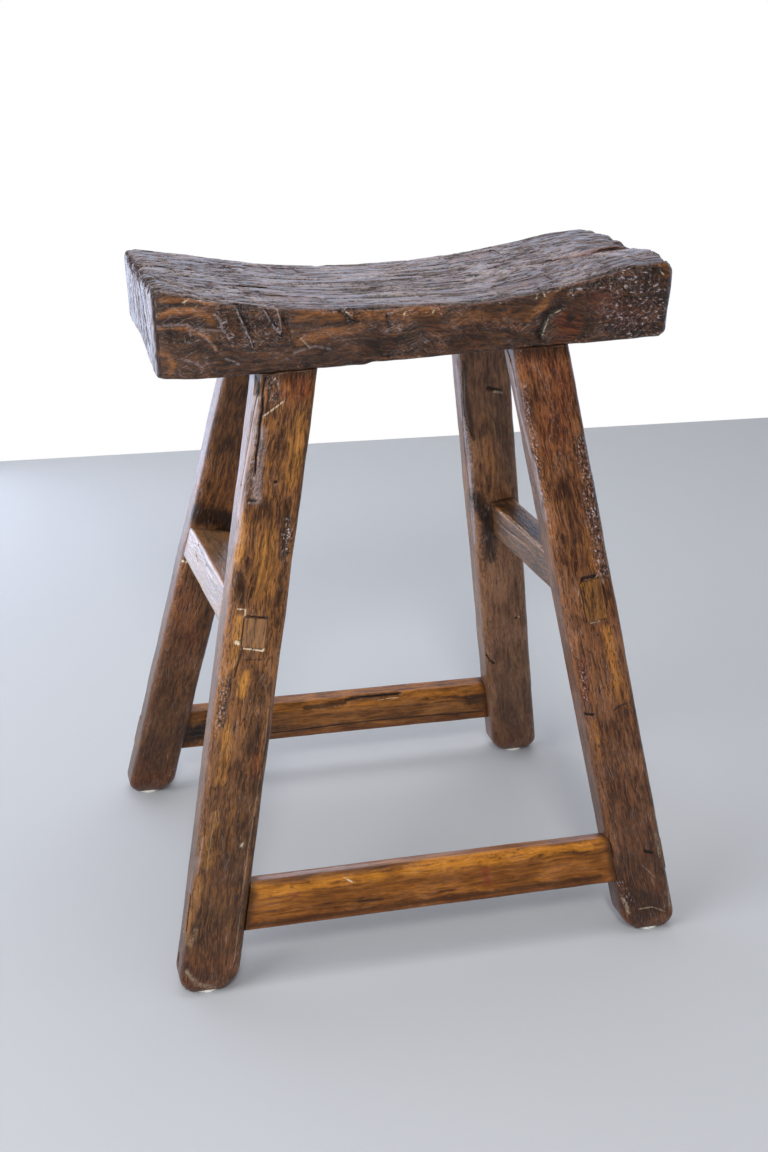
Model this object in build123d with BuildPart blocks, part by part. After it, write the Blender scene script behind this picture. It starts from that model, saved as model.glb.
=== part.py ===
from build123d import *
import os
from typing import NamedTuple

# A country saddle stool in dark elm: a thick dished plank on four legs that splay both ways.
# Each leg is shouldered under the plank and its tenon runs up through it, split by a wedge.
# Two long stretchers tie the legs low down, two short ones tie them higher up, and the
# tenons of all four run right through the legs.
# Millimetres, +Z up, +X to the sitter's right along the plank, +Y to the back.
# The origin is on the floor under the middle of the stool.

os.makedirs("parts", exist_ok=True)

# Seat plank
seat_length = 400.0
seat_depth = 171.0
underside_height = 467.5  # at the left end, above the floor
underside_rise = 18.0  # how much higher the right end's underside is
left_end_thickness = 68.5
right_end_thickness = 59.5
saddle_dip = 22.0  # deepest point of the dish under the straight line between the ends
seat_corner_radius = 8.0
worn_corner_radius = 17.0  # the back right corner is worn rounder than the others
seat_edge_radius = 4.0
seat_bottom_radius = 3.0  # all round the underside
# Points of the dish along the plank: share of half its length, share of the dip
front_dip_shares = (
    (-1.0, 0.0),
    (-0.7, 0.62),
    (-0.42, 0.93),
    (0.0, 1.0),
    (0.32, 0.98),
    (0.62, 0.52),
    (0.8, 0.14),
    (1.0, 0.0),
)
back_dip_shares = (
    (-1.0, 0.0),
    (-0.74, 0.3),
    (-0.42, 0.78),
    (0.0, 0.93),
    (0.32, 0.78),
    (0.62, 0.42),
    (0.8, 0.13),
    (1.0, 0.0),
)

# Drying crack in the right end: where its middle line starts, bends and leaves, as shares of the half sizes
crack_opening = 5.0
crack_depth = 15.0
crack_start_shares = (0.585, -0.04)
crack_bend_shares = (0.78, -0.13)
crack_end_share = -0.04

# Legs: a rectangular bar with rounded arrises, wider along the plank than across it
leg_width = 47.0
leg_depth = 32.0
leg_arris_radius = 7.0
leg_top_spread = 98.0  # from the middle to a leg's axis at the underside, along the plank
foot_spread_x = 188.0
foot_spread_y = 167.0
foot_bevel_x = 9.0
foot_bevel_y = 4.5
foot_bevel_height = 12.0
foot_arris_radius = 4.0
# The stool is hand made, so each leg has its own shares of the sizes above
leg_width_shares = {"front_left": 1.0, "front_right": 1.0, "back_left": 0.93, "back_right": 0.985}
top_spread_shares = {"front_left": -1.04, "front_right": 0.995, "back_left": -0.995, "back_right": 0.955}
foot_x_shares = {"front_left": -1.0, "front_right": 1.0, "back_left": -1.03, "back_right": 0.975}
foot_y_shares = {"front_left": -1.0, "front_right": -0.985, "back_left": 0.995, "back_right": 1.03}

# Leg tenons and their wedges
joint_clearance = 0.3
tenon_thickness = 18.0
tenon_side_shoulder = 1.0
tenon_root = 12.0  # how far the tenon's bar starts below the shoulder, inside the leg
tenon_inset = 6.0  # how far a tenon is set inwards from the leg's middle
tenon_inset_shares = {"front_left": 1.0, "front_right": 1.0, "back_left": 0.0, "back_right": 0.0}
wedge_head = 5.0
wedge_tip = 1.2
wedge_length = 30.0

# Long stretchers, low down between the front legs and between the back legs
long_thickness = 18.5
long_chamfer = 2.5
long_set = 5.5  # from the legs' middle towards their outer faces
long_tenon_shoulder = 5.0
long_tenon_thickness = 11.0
front_long_height = 38.5
front_long_level = 65.0  # middle of the stretcher at its left end
front_long_fall = 0.5  # how much lower its right end is
front_bevel_height = 3.5
front_bevel_depth = 3.5
back_long_height = 40.5
back_long_level = 66.0
back_long_fall = 3.0
back_bevel_height = 8.0
back_bevel_depth = 5.0

# Short stretchers, higher up between the left legs and between the right legs
short_chamfer = 2.0
left_short_height = 30.0
left_short_width = 38.0
left_short_taper_share = 0.72  # width at the front end, as a share of the back end
left_short_set = 1.5  # from the legs' middle towards their outer faces
left_short_level = 280.0  # middle of the stretcher at its front end
left_short_fall = 6.0  # how much lower its back end is
left_tenon_width = 17.5
left_tenon_height = 22.0
left_tenon_set = 0.5
right_short_height = 34.0
right_short_width = 22.5
right_short_taper_share = 0.93
right_short_set = 4.2
right_short_level = 283.0
right_short_fall = 2.0
right_tenon_width = 17.5
right_tenon_height = 32.5
right_tenon_set = 2.5

# Glide pads
pad_radius = 11.0
pad_thickness = 3.0
pad_edge_radius = 1.0

cut_overrun = 40.0  # how far a cutting bar runs past what it cuts

half_length = seat_length / 2
half_depth = seat_depth / 2


def inward_y(leg):
    # Direction along Y from a leg towards the middle of the stool
    return 1 if leg.startswith("front") else -1


def outward_x(side):
    # Direction along X from the middle of the stool towards a side
    return 1 if side == "right" else -1


def underside_at(x):
    return underside_height + underside_rise * (x + half_length) / seat_length


def end_line_at(x):
    left_top = underside_height + left_end_thickness
    right_top = underside_height + underside_rise + right_end_thickness
    return left_top + (right_top - left_top) * (x + half_length) / seat_length


def dish_points(dip_shares):
    # The dished top edge of one long side, as points in the plane of that side
    points = []
    for along_share, dip_share in dip_shares:
        x = along_share * half_length
        points.append((x, end_line_at(x) - dip_share * saddle_dip))
    return points


def side_plane(y):
    # A plane parallel to the plank's long sides, with its first axis along +X and its second up
    return Plane(origin=(0, y, 0), x_dir=(1, 0, 0), z_dir=(0, -1, 0))


def plank(drop):
    # The dished plank, with its underside lowered by a drop
    with BuildPart() as block:
        for y, dip_shares in ((-half_depth, front_dip_shares), (half_depth, back_dip_shares)):
            with BuildSketch(side_plane(y)):
                with BuildLine():
                    top = Spline(*dish_points(dip_shares))
                    Polyline(
                        top @ 1,
                        (half_length, underside_at(half_length) - drop),
                        (-half_length, underside_at(-half_length) - drop),
                        top @ 0,
                    )
                make_face()
        loft(ruled=True)
    return block.part


def leg_top(leg):
    # Middle of the leg where its shoulder meets the underside: its outer face is flush with the plank's side
    x = leg_top_spread * top_spread_shares[leg]
    y = -inward_y(leg) * (half_depth - leg_depth / 2)
    return Vector(x, y, underside_at(x))


def leg_foot(leg):
    return Vector(foot_spread_x * foot_x_shares[leg], foot_spread_y * foot_y_shares[leg], 0)


def leg_direction(leg):
    return (leg_top(leg) - leg_foot(leg)).normalized()


def leg_point(leg, height):
    share = height / leg_top(leg).Z
    return leg_foot(leg) + (leg_top(leg) - leg_foot(leg)) * share


def leg_side_plane(leg, side):
    # Plane of the leg's left (-1) or right (1) face, with its normal pointing out of the leg
    origin = leg_foot(leg) + Vector(side * leg_width * leg_width_shares[leg] / 2, 0, 0)
    normal = Vector(0, 1, 0).cross(leg_direction(leg)) * side
    return Plane(origin=origin, x_dir=(0, 1, 0), z_dir=normal)


def leg_end_plane(leg, side):
    # Plane of the leg's front (-1) or back (1) face, with its normal pointing out of the leg
    origin = leg_foot(leg) + Vector(0, side * leg_depth / 2, 0)
    normal = leg_direction(leg).cross(Vector(1, 0, 0)) * side
    return Plane(origin=origin, x_dir=(1, 0, 0), z_dir=normal)


underside_plane = Plane(
    origin=(-half_length, 0, underside_height),
    x_dir=(seat_length, 0, underside_rise),
    z_dir=(-underside_rise, 0, seat_length),
)


def tenon_bar(leg, growth):
    # The leg's tenon as a slanted bar that starts inside the leg and runs past the top of the plank
    start = leg_point(leg, leg_top(leg).Z - tenon_root)
    width = leg_width * leg_width_shares[leg] - 2 * tenon_side_shoulder + 2 * growth
    inset = inward_y(leg) * tenon_inset * tenon_inset_shares[leg]
    run = tenon_root + left_end_thickness + right_end_thickness
    with BuildPart() as bar:
        with BuildSketch(Plane(start + Vector(0, inset, 0))):
            Rectangle(width, tenon_thickness + 2 * growth)
        extrude(amount=run / leg_direction(leg).Z, dir=leg_direction(leg))
    return bar.part


def wedge_prism(leg):
    # The space of the kerf: across the tenon, wide at the plank's top and narrow at its tip
    inset = Vector(0, inward_y(leg) * tenon_inset * tenon_inset_shares[leg], 0)
    axis = leg_direction(leg)
    head_height = end_line_at(leg_top(leg).X)
    head = leg_point(leg, head_height) + inset
    tip = leg_point(leg, end_line_at(leg_top(leg).X) - saddle_dip - wedge_length) + inset
    with BuildPart() as prism:
        with BuildSketch(Plane(origin=head, x_dir=(1, 0, 0), z_dir=axis)):
            Rectangle(wedge_head, tenon_thickness * 2)
        with BuildSketch(Plane(origin=tip, x_dir=(1, 0, 0), z_dir=axis)):
            Rectangle(wedge_tip, tenon_thickness * 2)
        loft(ruled=True)
    return prism.part


def bar_plane(start, end, up):
    # Plane across a stretcher at its start: first axis up along the leg's lean, third axis along the stretcher
    return Plane(origin=start, x_dir=up, z_dir=end - start)


class LongSizes(NamedTuple):
    row: str
    height: float
    level: float
    fall: float
    bevel_height: float
    bevel_depth: float


class ShortSizes(NamedTuple):
    side: str
    height: float
    width: float
    taper_share: float
    body_set: float
    level: float
    fall: float
    tenon_width: float
    tenon_height: float
    tenon_set: float


front_long = LongSizes(
    "front", front_long_height, front_long_level, front_long_fall, front_bevel_height, front_bevel_depth
)
back_long = LongSizes(
    "back", back_long_height, back_long_level, back_long_fall, back_bevel_height, back_bevel_depth
)
left_short = ShortSizes(
    side="left",
    height=left_short_height,
    width=left_short_width,
    taper_share=left_short_taper_share,
    body_set=left_short_set,
    level=left_short_level,
    fall=left_short_fall,
    tenon_width=left_tenon_width,
    tenon_height=left_tenon_height,
    tenon_set=left_tenon_set,
)
right_short = ShortSizes(
    side="right",
    height=right_short_height,
    width=right_short_width,
    taper_share=right_short_taper_share,
    body_set=right_short_set,
    level=right_short_level,
    fall=right_short_fall,
    tenon_width=right_tenon_width,
    tenon_height=right_tenon_height,
    tenon_set=right_tenon_set,
)


def long_ends(sizes):
    # Middle line of a long stretcher, inside its left leg and its right leg
    left_leg = sizes.row + "_left"
    shift = Vector(0, -inward_y(left_leg) * long_set, 0)
    left = leg_point(left_leg, sizes.level) + shift
    right = leg_point(sizes.row + "_right", sizes.level - sizes.fall) + shift
    return left, right


def long_bar(sizes, growth):
    # The through tenon of a long stretcher, as one bar past both legs
    left, right = long_ends(sizes)
    overrun = (right - left).normalized() * (leg_width + cut_overrun)
    with BuildPart() as bar:
        with BuildSketch(bar_plane(left - overrun, right, leg_direction(sizes.row + "_left"))):
            Rectangle(sizes.height - 2 * long_tenon_shoulder + 2 * growth, long_tenon_thickness + 2 * growth)
        extrude(amount=(right - left + overrun * 2).length)
    return bar.part


def long_outline(sizes):
    # Section of a long stretcher, first axis up and second axis to the front, with its top front arris bevelled off
    top = sizes.height / 2
    side = long_thickness / 2
    return (
        (top, long_chamfer - side),
        (top - long_chamfer, -side),
        (long_chamfer - top, -side),
        (-top, long_chamfer - side),
        (-top, side - long_chamfer),
        (long_chamfer - top, side),
        (top - sizes.bevel_height, side),
        (top, side - sizes.bevel_depth),
    )


def long_stretcher(sizes):
    left_leg = sizes.row + "_left"
    right_leg = sizes.row + "_right"
    left, right = long_ends(sizes)
    with BuildPart() as body:
        with BuildSketch(bar_plane(left, right, leg_direction(left_leg))):
            Polygon(*long_outline(sizes), align=None)
        extrude(amount=(right - left).length)
        split(bisect_by=leg_side_plane(left_leg, 1), keep=Keep.TOP)
        split(bisect_by=leg_side_plane(right_leg, -1), keep=Keep.TOP)
    with BuildPart() as stretcher:
        add(long_bar(sizes, 0))
        split(bisect_by=leg_side_plane(left_leg, -1), keep=Keep.BOTTOM)
        split(bisect_by=leg_side_plane(right_leg, 1), keep=Keep.BOTTOM)
        add(body.part)
    return stretcher.part


def short_ends(sizes, outward_set):
    # A line parallel to a short stretcher, inside its front leg and its back leg
    shift = Vector(outward_x(sizes.side) * outward_set, 0, 0)
    front = leg_point("front_" + sizes.side, sizes.level) + shift
    back = leg_point("back_" + sizes.side, sizes.level - sizes.fall) + shift
    return front, back


def short_bar(sizes, growth):
    # The through tenon of a short stretcher, as one bar past both legs
    front, back = short_ends(sizes, sizes.tenon_set)
    overrun = (back - front).normalized() * (leg_depth + cut_overrun)
    with BuildPart() as bar:
        with BuildSketch(bar_plane(front - overrun, back, leg_direction("front_" + sizes.side))):
            Rectangle(sizes.tenon_height + 2 * growth, sizes.tenon_width + 2 * growth)
        extrude(amount=(back - front + overrun * 2).length)
    return bar.part


def short_stretcher(sizes):
    front_leg = "front_" + sizes.side
    back_leg = "back_" + sizes.side
    front, back = short_ends(sizes, sizes.body_set)
    across = bar_plane(front, back, leg_direction(front_leg))
    with BuildPart() as body:
        for plane, share in ((across, sizes.taper_share), (across.offset((back - front).length), 1.0)):
            with BuildSketch(plane) as section:
                Rectangle(sizes.height, sizes.width * share)
                chamfer(section.vertices(), length=short_chamfer)
        loft(ruled=True)
        split(bisect_by=leg_end_plane(front_leg, 1), keep=Keep.TOP)
        split(bisect_by=leg_end_plane(back_leg, -1), keep=Keep.TOP)
    with BuildPart() as stretcher:
        add(short_bar(sizes, 0))
        split(bisect_by=leg_end_plane(front_leg, -1), keep=Keep.BOTTOM)
        split(bisect_by=leg_end_plane(back_leg, 1), keep=Keep.BOTTOM)
        add(body.part)
    return stretcher.part


def write_piece(piece, name):
    piece.label = name
    export_step(piece, f"parts/{name}.step")


legs = tuple(leg_width_shares)

# Seat: the dished plank with rounded corners, a crack in its right end and four slanted mortises
with BuildPart() as seat:
    add(plank(0))
    corners = seat.edges().filter_by(Axis.Z).sort_by(lambda edge: edge.center().X + edge.center().Y)
    fillet(corners[-1], radius=worn_corner_radius)
    corners = seat.edges().filter_by(Axis.Z).sort_by(lambda edge: edge.center().X + edge.center().Y)
    fillet(corners[:3], radius=seat_corner_radius)
    fillet(seat.faces().sort_by(Axis.Z)[-1].edges(), radius=seat_edge_radius)
    fillet(seat.faces().sort_by(Axis.Z)[0].edges(), radius=seat_bottom_radius)
    crack_start = (crack_start_shares[0] * half_length, crack_start_shares[1] * half_depth)
    crack_bend = Vector(crack_bend_shares[0] * half_length, crack_bend_shares[1] * half_depth)
    crack_end = Vector(half_length + cut_overrun, crack_end_share * half_depth)
    half_opening = Vector(0, crack_opening / 2)
    with BuildSketch(Plane.XY.offset(end_line_at(half_length) - crack_depth)):
        with BuildLine():
            Polyline(
                crack_start,
                crack_bend - half_opening / 2,
                crack_end - half_opening,
                crack_end + half_opening,
                crack_bend + half_opening / 2,
                crack_start,
            )
        make_face()
    extrude(amount=crack_depth + cut_overrun, mode=Mode.SUBTRACT)
    for leg in legs:
        add(tenon_bar(leg, joint_clearance), mode=Mode.SUBTRACT)
write_piece(seat.part, "seat")

# Mortise bars through the legs, a joint clearance larger than the tenons
mortise_bars = {
    "front": long_bar(front_long, joint_clearance),
    "back": long_bar(back_long, joint_clearance),
    "left": short_bar(left_short, joint_clearance),
    "right": short_bar(right_short, joint_clearance),
}

trimming_plank = plank(tenon_root)

for leg in legs:
    width = leg_width * leg_width_shares[leg]
    bevel_top = pad_thickness + foot_bevel_height
    with BuildPart() as tenon:
        add(tenon_bar(leg, 0))
        add(trimming_plank, mode=Mode.INTERSECT)

    with BuildPart() as leg_part:
        with BuildSketch(Plane(leg_point(leg, bevel_top))):
            RectangleRounded(width, leg_depth, leg_arris_radius)
        extrude(amount=(leg_top(leg).Z + saddle_dip) / leg_direction(leg).Z, dir=leg_direction(leg))
        split(bisect_by=underside_plane, keep=Keep.BOTTOM)
        with BuildSketch(Plane(leg_point(leg, pad_thickness))):
            RectangleRounded(width - 2 * foot_bevel_x, leg_depth - 2 * foot_bevel_y, foot_arris_radius)
        with BuildSketch(Plane(leg_point(leg, bevel_top))):
            RectangleRounded(width, leg_depth, leg_arris_radius)
        loft()
        add(tenon.part)
        add(wedge_prism(leg), mode=Mode.SUBTRACT)
        for side in leg.split("_"):
            add(mortise_bars[side], mode=Mode.SUBTRACT)
    write_piece(leg_part.part, "leg_" + leg)

    with BuildPart() as wedge:
        add(wedge_prism(leg))
        add(tenon.part, mode=Mode.INTERSECT)
    write_piece(wedge.part, "wedge_" + leg)

    foot_middle = leg_point(leg, pad_thickness)
    with BuildPart() as pad:
        with BuildSketch(Plane(origin=(foot_middle.X, foot_middle.Y, 0))):
            Circle(pad_radius)
        extrude(amount=pad_thickness)
        fillet(pad.edges().sort_by(Axis.Z)[0], radius=pad_edge_radius)
    write_piece(pad.part, "foot_pad_" + leg)

write_piece(long_stretcher(front_long), "stretcher_front")
write_piece(long_stretcher(back_long), "stretcher_back")
write_piece(short_stretcher(left_short), "stretcher_left")
write_piece(short_stretcher(right_short), "stretcher_right")
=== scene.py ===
import itertools
import logging
import math
from dataclasses import dataclass
from enum import Enum
from functools import partial
from typing import NamedTuple

import bpy
import numpy as np
from bpy.types import ID, Material, Mesh, Node, NodeSocket, NodeTree, Object
from mathutils import Matrix, Vector
from mathutils.bvhtree import BVHTree


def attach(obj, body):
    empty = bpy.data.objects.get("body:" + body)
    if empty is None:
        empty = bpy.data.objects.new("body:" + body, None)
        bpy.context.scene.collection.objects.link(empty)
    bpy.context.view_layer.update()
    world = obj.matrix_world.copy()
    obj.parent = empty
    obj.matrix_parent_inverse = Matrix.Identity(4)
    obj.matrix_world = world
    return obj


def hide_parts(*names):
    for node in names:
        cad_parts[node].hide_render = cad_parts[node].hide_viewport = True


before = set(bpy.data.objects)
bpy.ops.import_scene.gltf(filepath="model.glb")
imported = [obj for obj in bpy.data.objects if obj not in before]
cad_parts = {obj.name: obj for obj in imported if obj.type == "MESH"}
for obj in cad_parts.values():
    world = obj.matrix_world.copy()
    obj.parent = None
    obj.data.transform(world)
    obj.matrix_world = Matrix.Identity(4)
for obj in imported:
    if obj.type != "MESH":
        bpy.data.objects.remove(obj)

# The looks of a country saddle stool in old dark elm.
# Sizes are in millimetres in the same frame as the CAD model and become metres in each mesh.
# Marks such as cracks, chips and stains are placed by pixels of the photograph, and each lands
# on the surface of its own piece there.

MM = 0.001
PHOTO_WIDTH = 768
PHOTO_HEIGHT = 1152
TINY = 1e-9
LOG = logging.getLogger("saddle_stool")

# The node kinds that the trees use most
MATH = "ShaderNodeMath"
VECTOR_MATH = "ShaderNodeVectorMath"
MAP_RANGE = "ShaderNodeMapRange"
MIX = "ShaderNodeMix"
NOISE = "ShaderNodeTexNoise"
JOIN_XYZ = "ShaderNodeCombineXYZ"
SPLIT_XYZ = "ShaderNodeSeparateXYZ"

Pixel = tuple[float, float]
Ends = tuple[Vector, Vector]


class Corner(Enum):
    """The four corners of the stool, by the names that its CAD nodes use."""

    FRONT_LEFT = "front_left"
    FRONT_RIGHT = "front_right"
    BACK_LEFT = "back_left"
    BACK_RIGHT = "back_right"


class Stain(Enum):
    """What a mark does to the colour of the wood: the mesh attribute that it writes."""

    AMBER = "amber"
    DARK = "dark"
    # Pale chips and lines; some pale marks are painted glints
    PALE = "pale"
    RED = "red"
    # Pitted wood: dark pits and bumps, with pale specks that are painted glints
    PITTED = "pitted"
    # A pale lavender sheen and glints painted into the colour, standing for the reflection of a bright
    # window; thin lines of it are pale scratches too
    SHEEN_AND_SCRATCHES = "waxed"


def linear(hex_colour: str) -> tuple[float, float, float, float]:
    """Turns a hex colour as seen on a screen to the linear colour that a socket takes.

    Args:
        hex_colour: Six sRGB hex digits after a hash.

    Returns:
        Red, green, blue and alpha, linear.
    """
    channels = (int(hex_colour[start:start + 2], 16) / 255 for start in (1, 3, 5))
    red, green, blue = (c / 12.92 if c <= 0.04045 else ((c + 0.055) / 1.055) ** 2.4 for c in channels)
    return red, green, blue, 1.0


def add_node(tree: NodeTree, kind: str, inputs: dict | None = None, **settings: object) -> Node:
    """Adds a node to a tree, with its settings and with its inputs linked or filled in.

    Args:
        tree: The node tree that gets the node.
        kind: The node's type name.
        inputs: Input name or number to a socket, which is linked, or to a value.
        settings: Properties of the node.

    Returns:
        The new node.
    """
    node = tree.nodes.new(kind)
    for name, value in settings.items():
        setattr(node, name, value)
    for key, value in (inputs or {}).items():
        if isinstance(value, NodeSocket):
            tree.links.new(value, node.inputs[key])
        else:
            node.inputs[key].default_value = value
    return node


def new_material(name: str) -> Material:
    """Makes a material with an empty node tree."""
    material = bpy.data.materials.new(name)
    material.use_nodes = True
    material.node_tree.nodes.clear()
    return material


def put_in_scene(name: str, data: ID) -> Object:
    """Makes an object of some data and links it to the scene."""
    thing = bpy.data.objects.new(name, data)
    bpy.context.scene.collection.objects.link(thing)
    return thing


def soft_noise(points: np.ndarray, seed: int) -> np.ndarray:
    """Smooth random values on a grid of unit cells.

    Args:
        points: One row of three coordinates for each point.
        seed: Picks the pattern.

    Returns:
        One value between -1 and 1 for each point.
    """
    cell = np.floor(points).astype(np.int64)
    part = points - cell
    part = part * part * (3 - 2 * part)
    total = np.zeros(len(points))
    for corner in itertools.product((0, 1), repeat=3):
        mixed = (cell + corner) @ np.array((73856093, 19349663, 83492791)) + seed * 40503
        mixed = ((mixed ^ (mixed >> 13)) * 1274126177) & 0x7FFFFFFF
        mixed = ((mixed ^ (mixed >> 11)) * 668265263) & 0x7FFFFFFF
        weight = np.prod(np.where(corner, part, 1 - part), axis=1)
        total += weight * (mixed / 2**30 - 1)
    return total


def smooth_step(low: float, high: float, values: np.ndarray) -> np.ndarray:
    """Maps values to a share that rises softly from 0 at low to 1 at high."""
    share = np.clip((values - low) / (high - low), 0, 1)
    return share * share * (3 - 2 * share)


def curve_through(x: np.ndarray, points: tuple[tuple[float, float], ...]) -> np.ndarray:
    """Reads a smooth curve through some points.

    Args:
        x: Where the curve is read.
        points: The curve's points, in rising order.

    Returns:
        The curve's heights.
    """
    at, height = (np.array(column, dtype=float) for column in zip(*points))
    slope = np.gradient(height, at)
    index = np.clip(np.searchsorted(at, x) - 1, 0, len(at) - 2)
    step = at[index + 1] - at[index]
    t = np.clip((x - at[index]) / step, 0, 1)
    start = (1 + 2 * t) * (1 - t) ** 2 * height[index] + t * (1 - t) ** 2 * step * slope[index]
    end = t * t * (3 - 2 * t) * height[index + 1] + t * t * (t - 1) * step * slope[index + 1]
    return start + end


def write_layer(mesh: Mesh, name: str, values: np.ndarray) -> None:
    """Stores one number or one vector a vertex on a mesh, for its material to read.

    Args:
        mesh: The mesh that gets the layer.
        name: The layer's name.
        values: One value, or one row of three, for each vertex.
    """
    kind = "FLOAT_VECTOR" if values.ndim == 2 else "FLOAT"
    layer = mesh.attributes.get(name) or mesh.attributes.new(name, kind, "POINT")
    layer.data.foreach_set("vector" if values.ndim == 2 else "value", values.astype(np.float32).ravel())


def read_layer(mesh: Mesh, name: str) -> np.ndarray:
    """Reads a layer that write_layer or a node tree stored; zeros if there is none.

    Args:
        mesh: The mesh with the layer.
        name: The layer's name.

    Returns:
        One value, or one row of three, for each vertex.
    """
    layer = mesh.attributes.get(name)
    if layer is None:
        return np.zeros(len(mesh.vertices))
    width = 3 if layer.data_type == "FLOAT_VECTOR" else 1
    values = np.empty(len(mesh.vertices) * width, dtype=np.float32)
    layer.data.foreach_get("vector" if width == 3 else "value", values)
    return values.reshape(-1, 3).astype(float) if width == 3 else values.astype(float)


def vertex_places(mesh: Mesh) -> np.ndarray:
    """Returns the vertices' coordinates in millimetres, one row each."""
    places = np.empty(len(mesh.vertices) * 3, dtype=np.float32)
    mesh.vertices.foreach_get("co", places)
    return places.reshape(-1, 3).astype(float) / MM


def move_vertices(mesh: Mesh, places: np.ndarray) -> None:
    """Puts the vertices at new places, given in millimetres."""
    mesh.vertices.foreach_set("co", (places * MM).astype(np.float32).ravel())
    mesh.update()


def vertex_normals(mesh: Mesh) -> np.ndarray:
    """Returns the vertices' normals, one row each."""
    normals = np.empty(len(mesh.vertices) * 3, dtype=np.float32)
    mesh.vertex_normals.foreach_get("vector", normals)
    return normals.reshape(-1, 3).astype(float)


@dataclass(frozen=True)
class PhotoCamera:
    """The camera that took the photograph, as fitted to the stool's own edges."""

    place: tuple[float, float, float] = (-329.68, -1220.77, 755.34)
    yaw: float = 0.26153
    pitch: float = 0.36761
    roll: float = 0.01751
    focal_pixels: float = 1588.88
    film_height: float = 36.0

    def axes(self) -> tuple[np.ndarray, np.ndarray, np.ndarray]:
        """Returns the camera's right, up and forward directions."""
        forward = np.array((
            math.sin(self.yaw) * math.cos(self.pitch),
            math.cos(self.yaw) * math.cos(self.pitch),
            -math.sin(self.pitch),
        ))
        level = np.array((math.cos(self.yaw), -math.sin(self.yaw), 0.0))
        upright = np.cross(level, forward)
        right = math.cos(self.roll) * level + math.sin(self.roll) * upright
        up = math.cos(self.roll) * upright - math.sin(self.roll) * level
        return right, up, forward

    def ray(self, pixel: Pixel) -> Vector:
        """Returns the direction from the camera through a pixel of the photograph."""
        right, up, forward = self.axes()
        across = (pixel[0] - PHOTO_WIDTH / 2) / self.focal_pixels
        down = (pixel[1] - PHOTO_HEIGHT / 2) / self.focal_pixels
        return Vector(forward + right * across - up * down).normalized()

    def build(self) -> Object:
        """Makes the scene's camera."""
        right, up, forward = self.axes()
        data = bpy.data.cameras.new("photo_camera")
        data.sensor_fit = "VERTICAL"
        data.sensor_height = self.film_height
        data.lens = self.focal_pixels / PHOTO_HEIGHT * self.film_height
        data.clip_start = 10 * MM
        camera = put_in_scene("photo_camera", data)
        turn = Matrix((right, up, -forward)).transposed().to_4x4()
        camera.matrix_world = Matrix.Translation(Vector(self.place) * MM) @ turn
        bpy.context.scene.camera = camera
        return camera


PHOTO_CAMERA = PhotoCamera()

# How marks lie on a mesh: lengths in millimetres, the rest shares or cosines
FINE_RADIUS = 2.0
SINK_RADIUS = 1.7
FULL_SHARE = 0.35
FACING = (-0.15, 0.1)
RAGGED_SHARE = 0.35
RAGGED_SIZE = 2.5
RAGGED_SEED = 17
LINE_FADE = (2.6, 4.2)
LINE_END_FADE = (0.2, 1.8)
FINE_LAYERS = ("fine_dark", "fine_pale", "fine_waxed")


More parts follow.
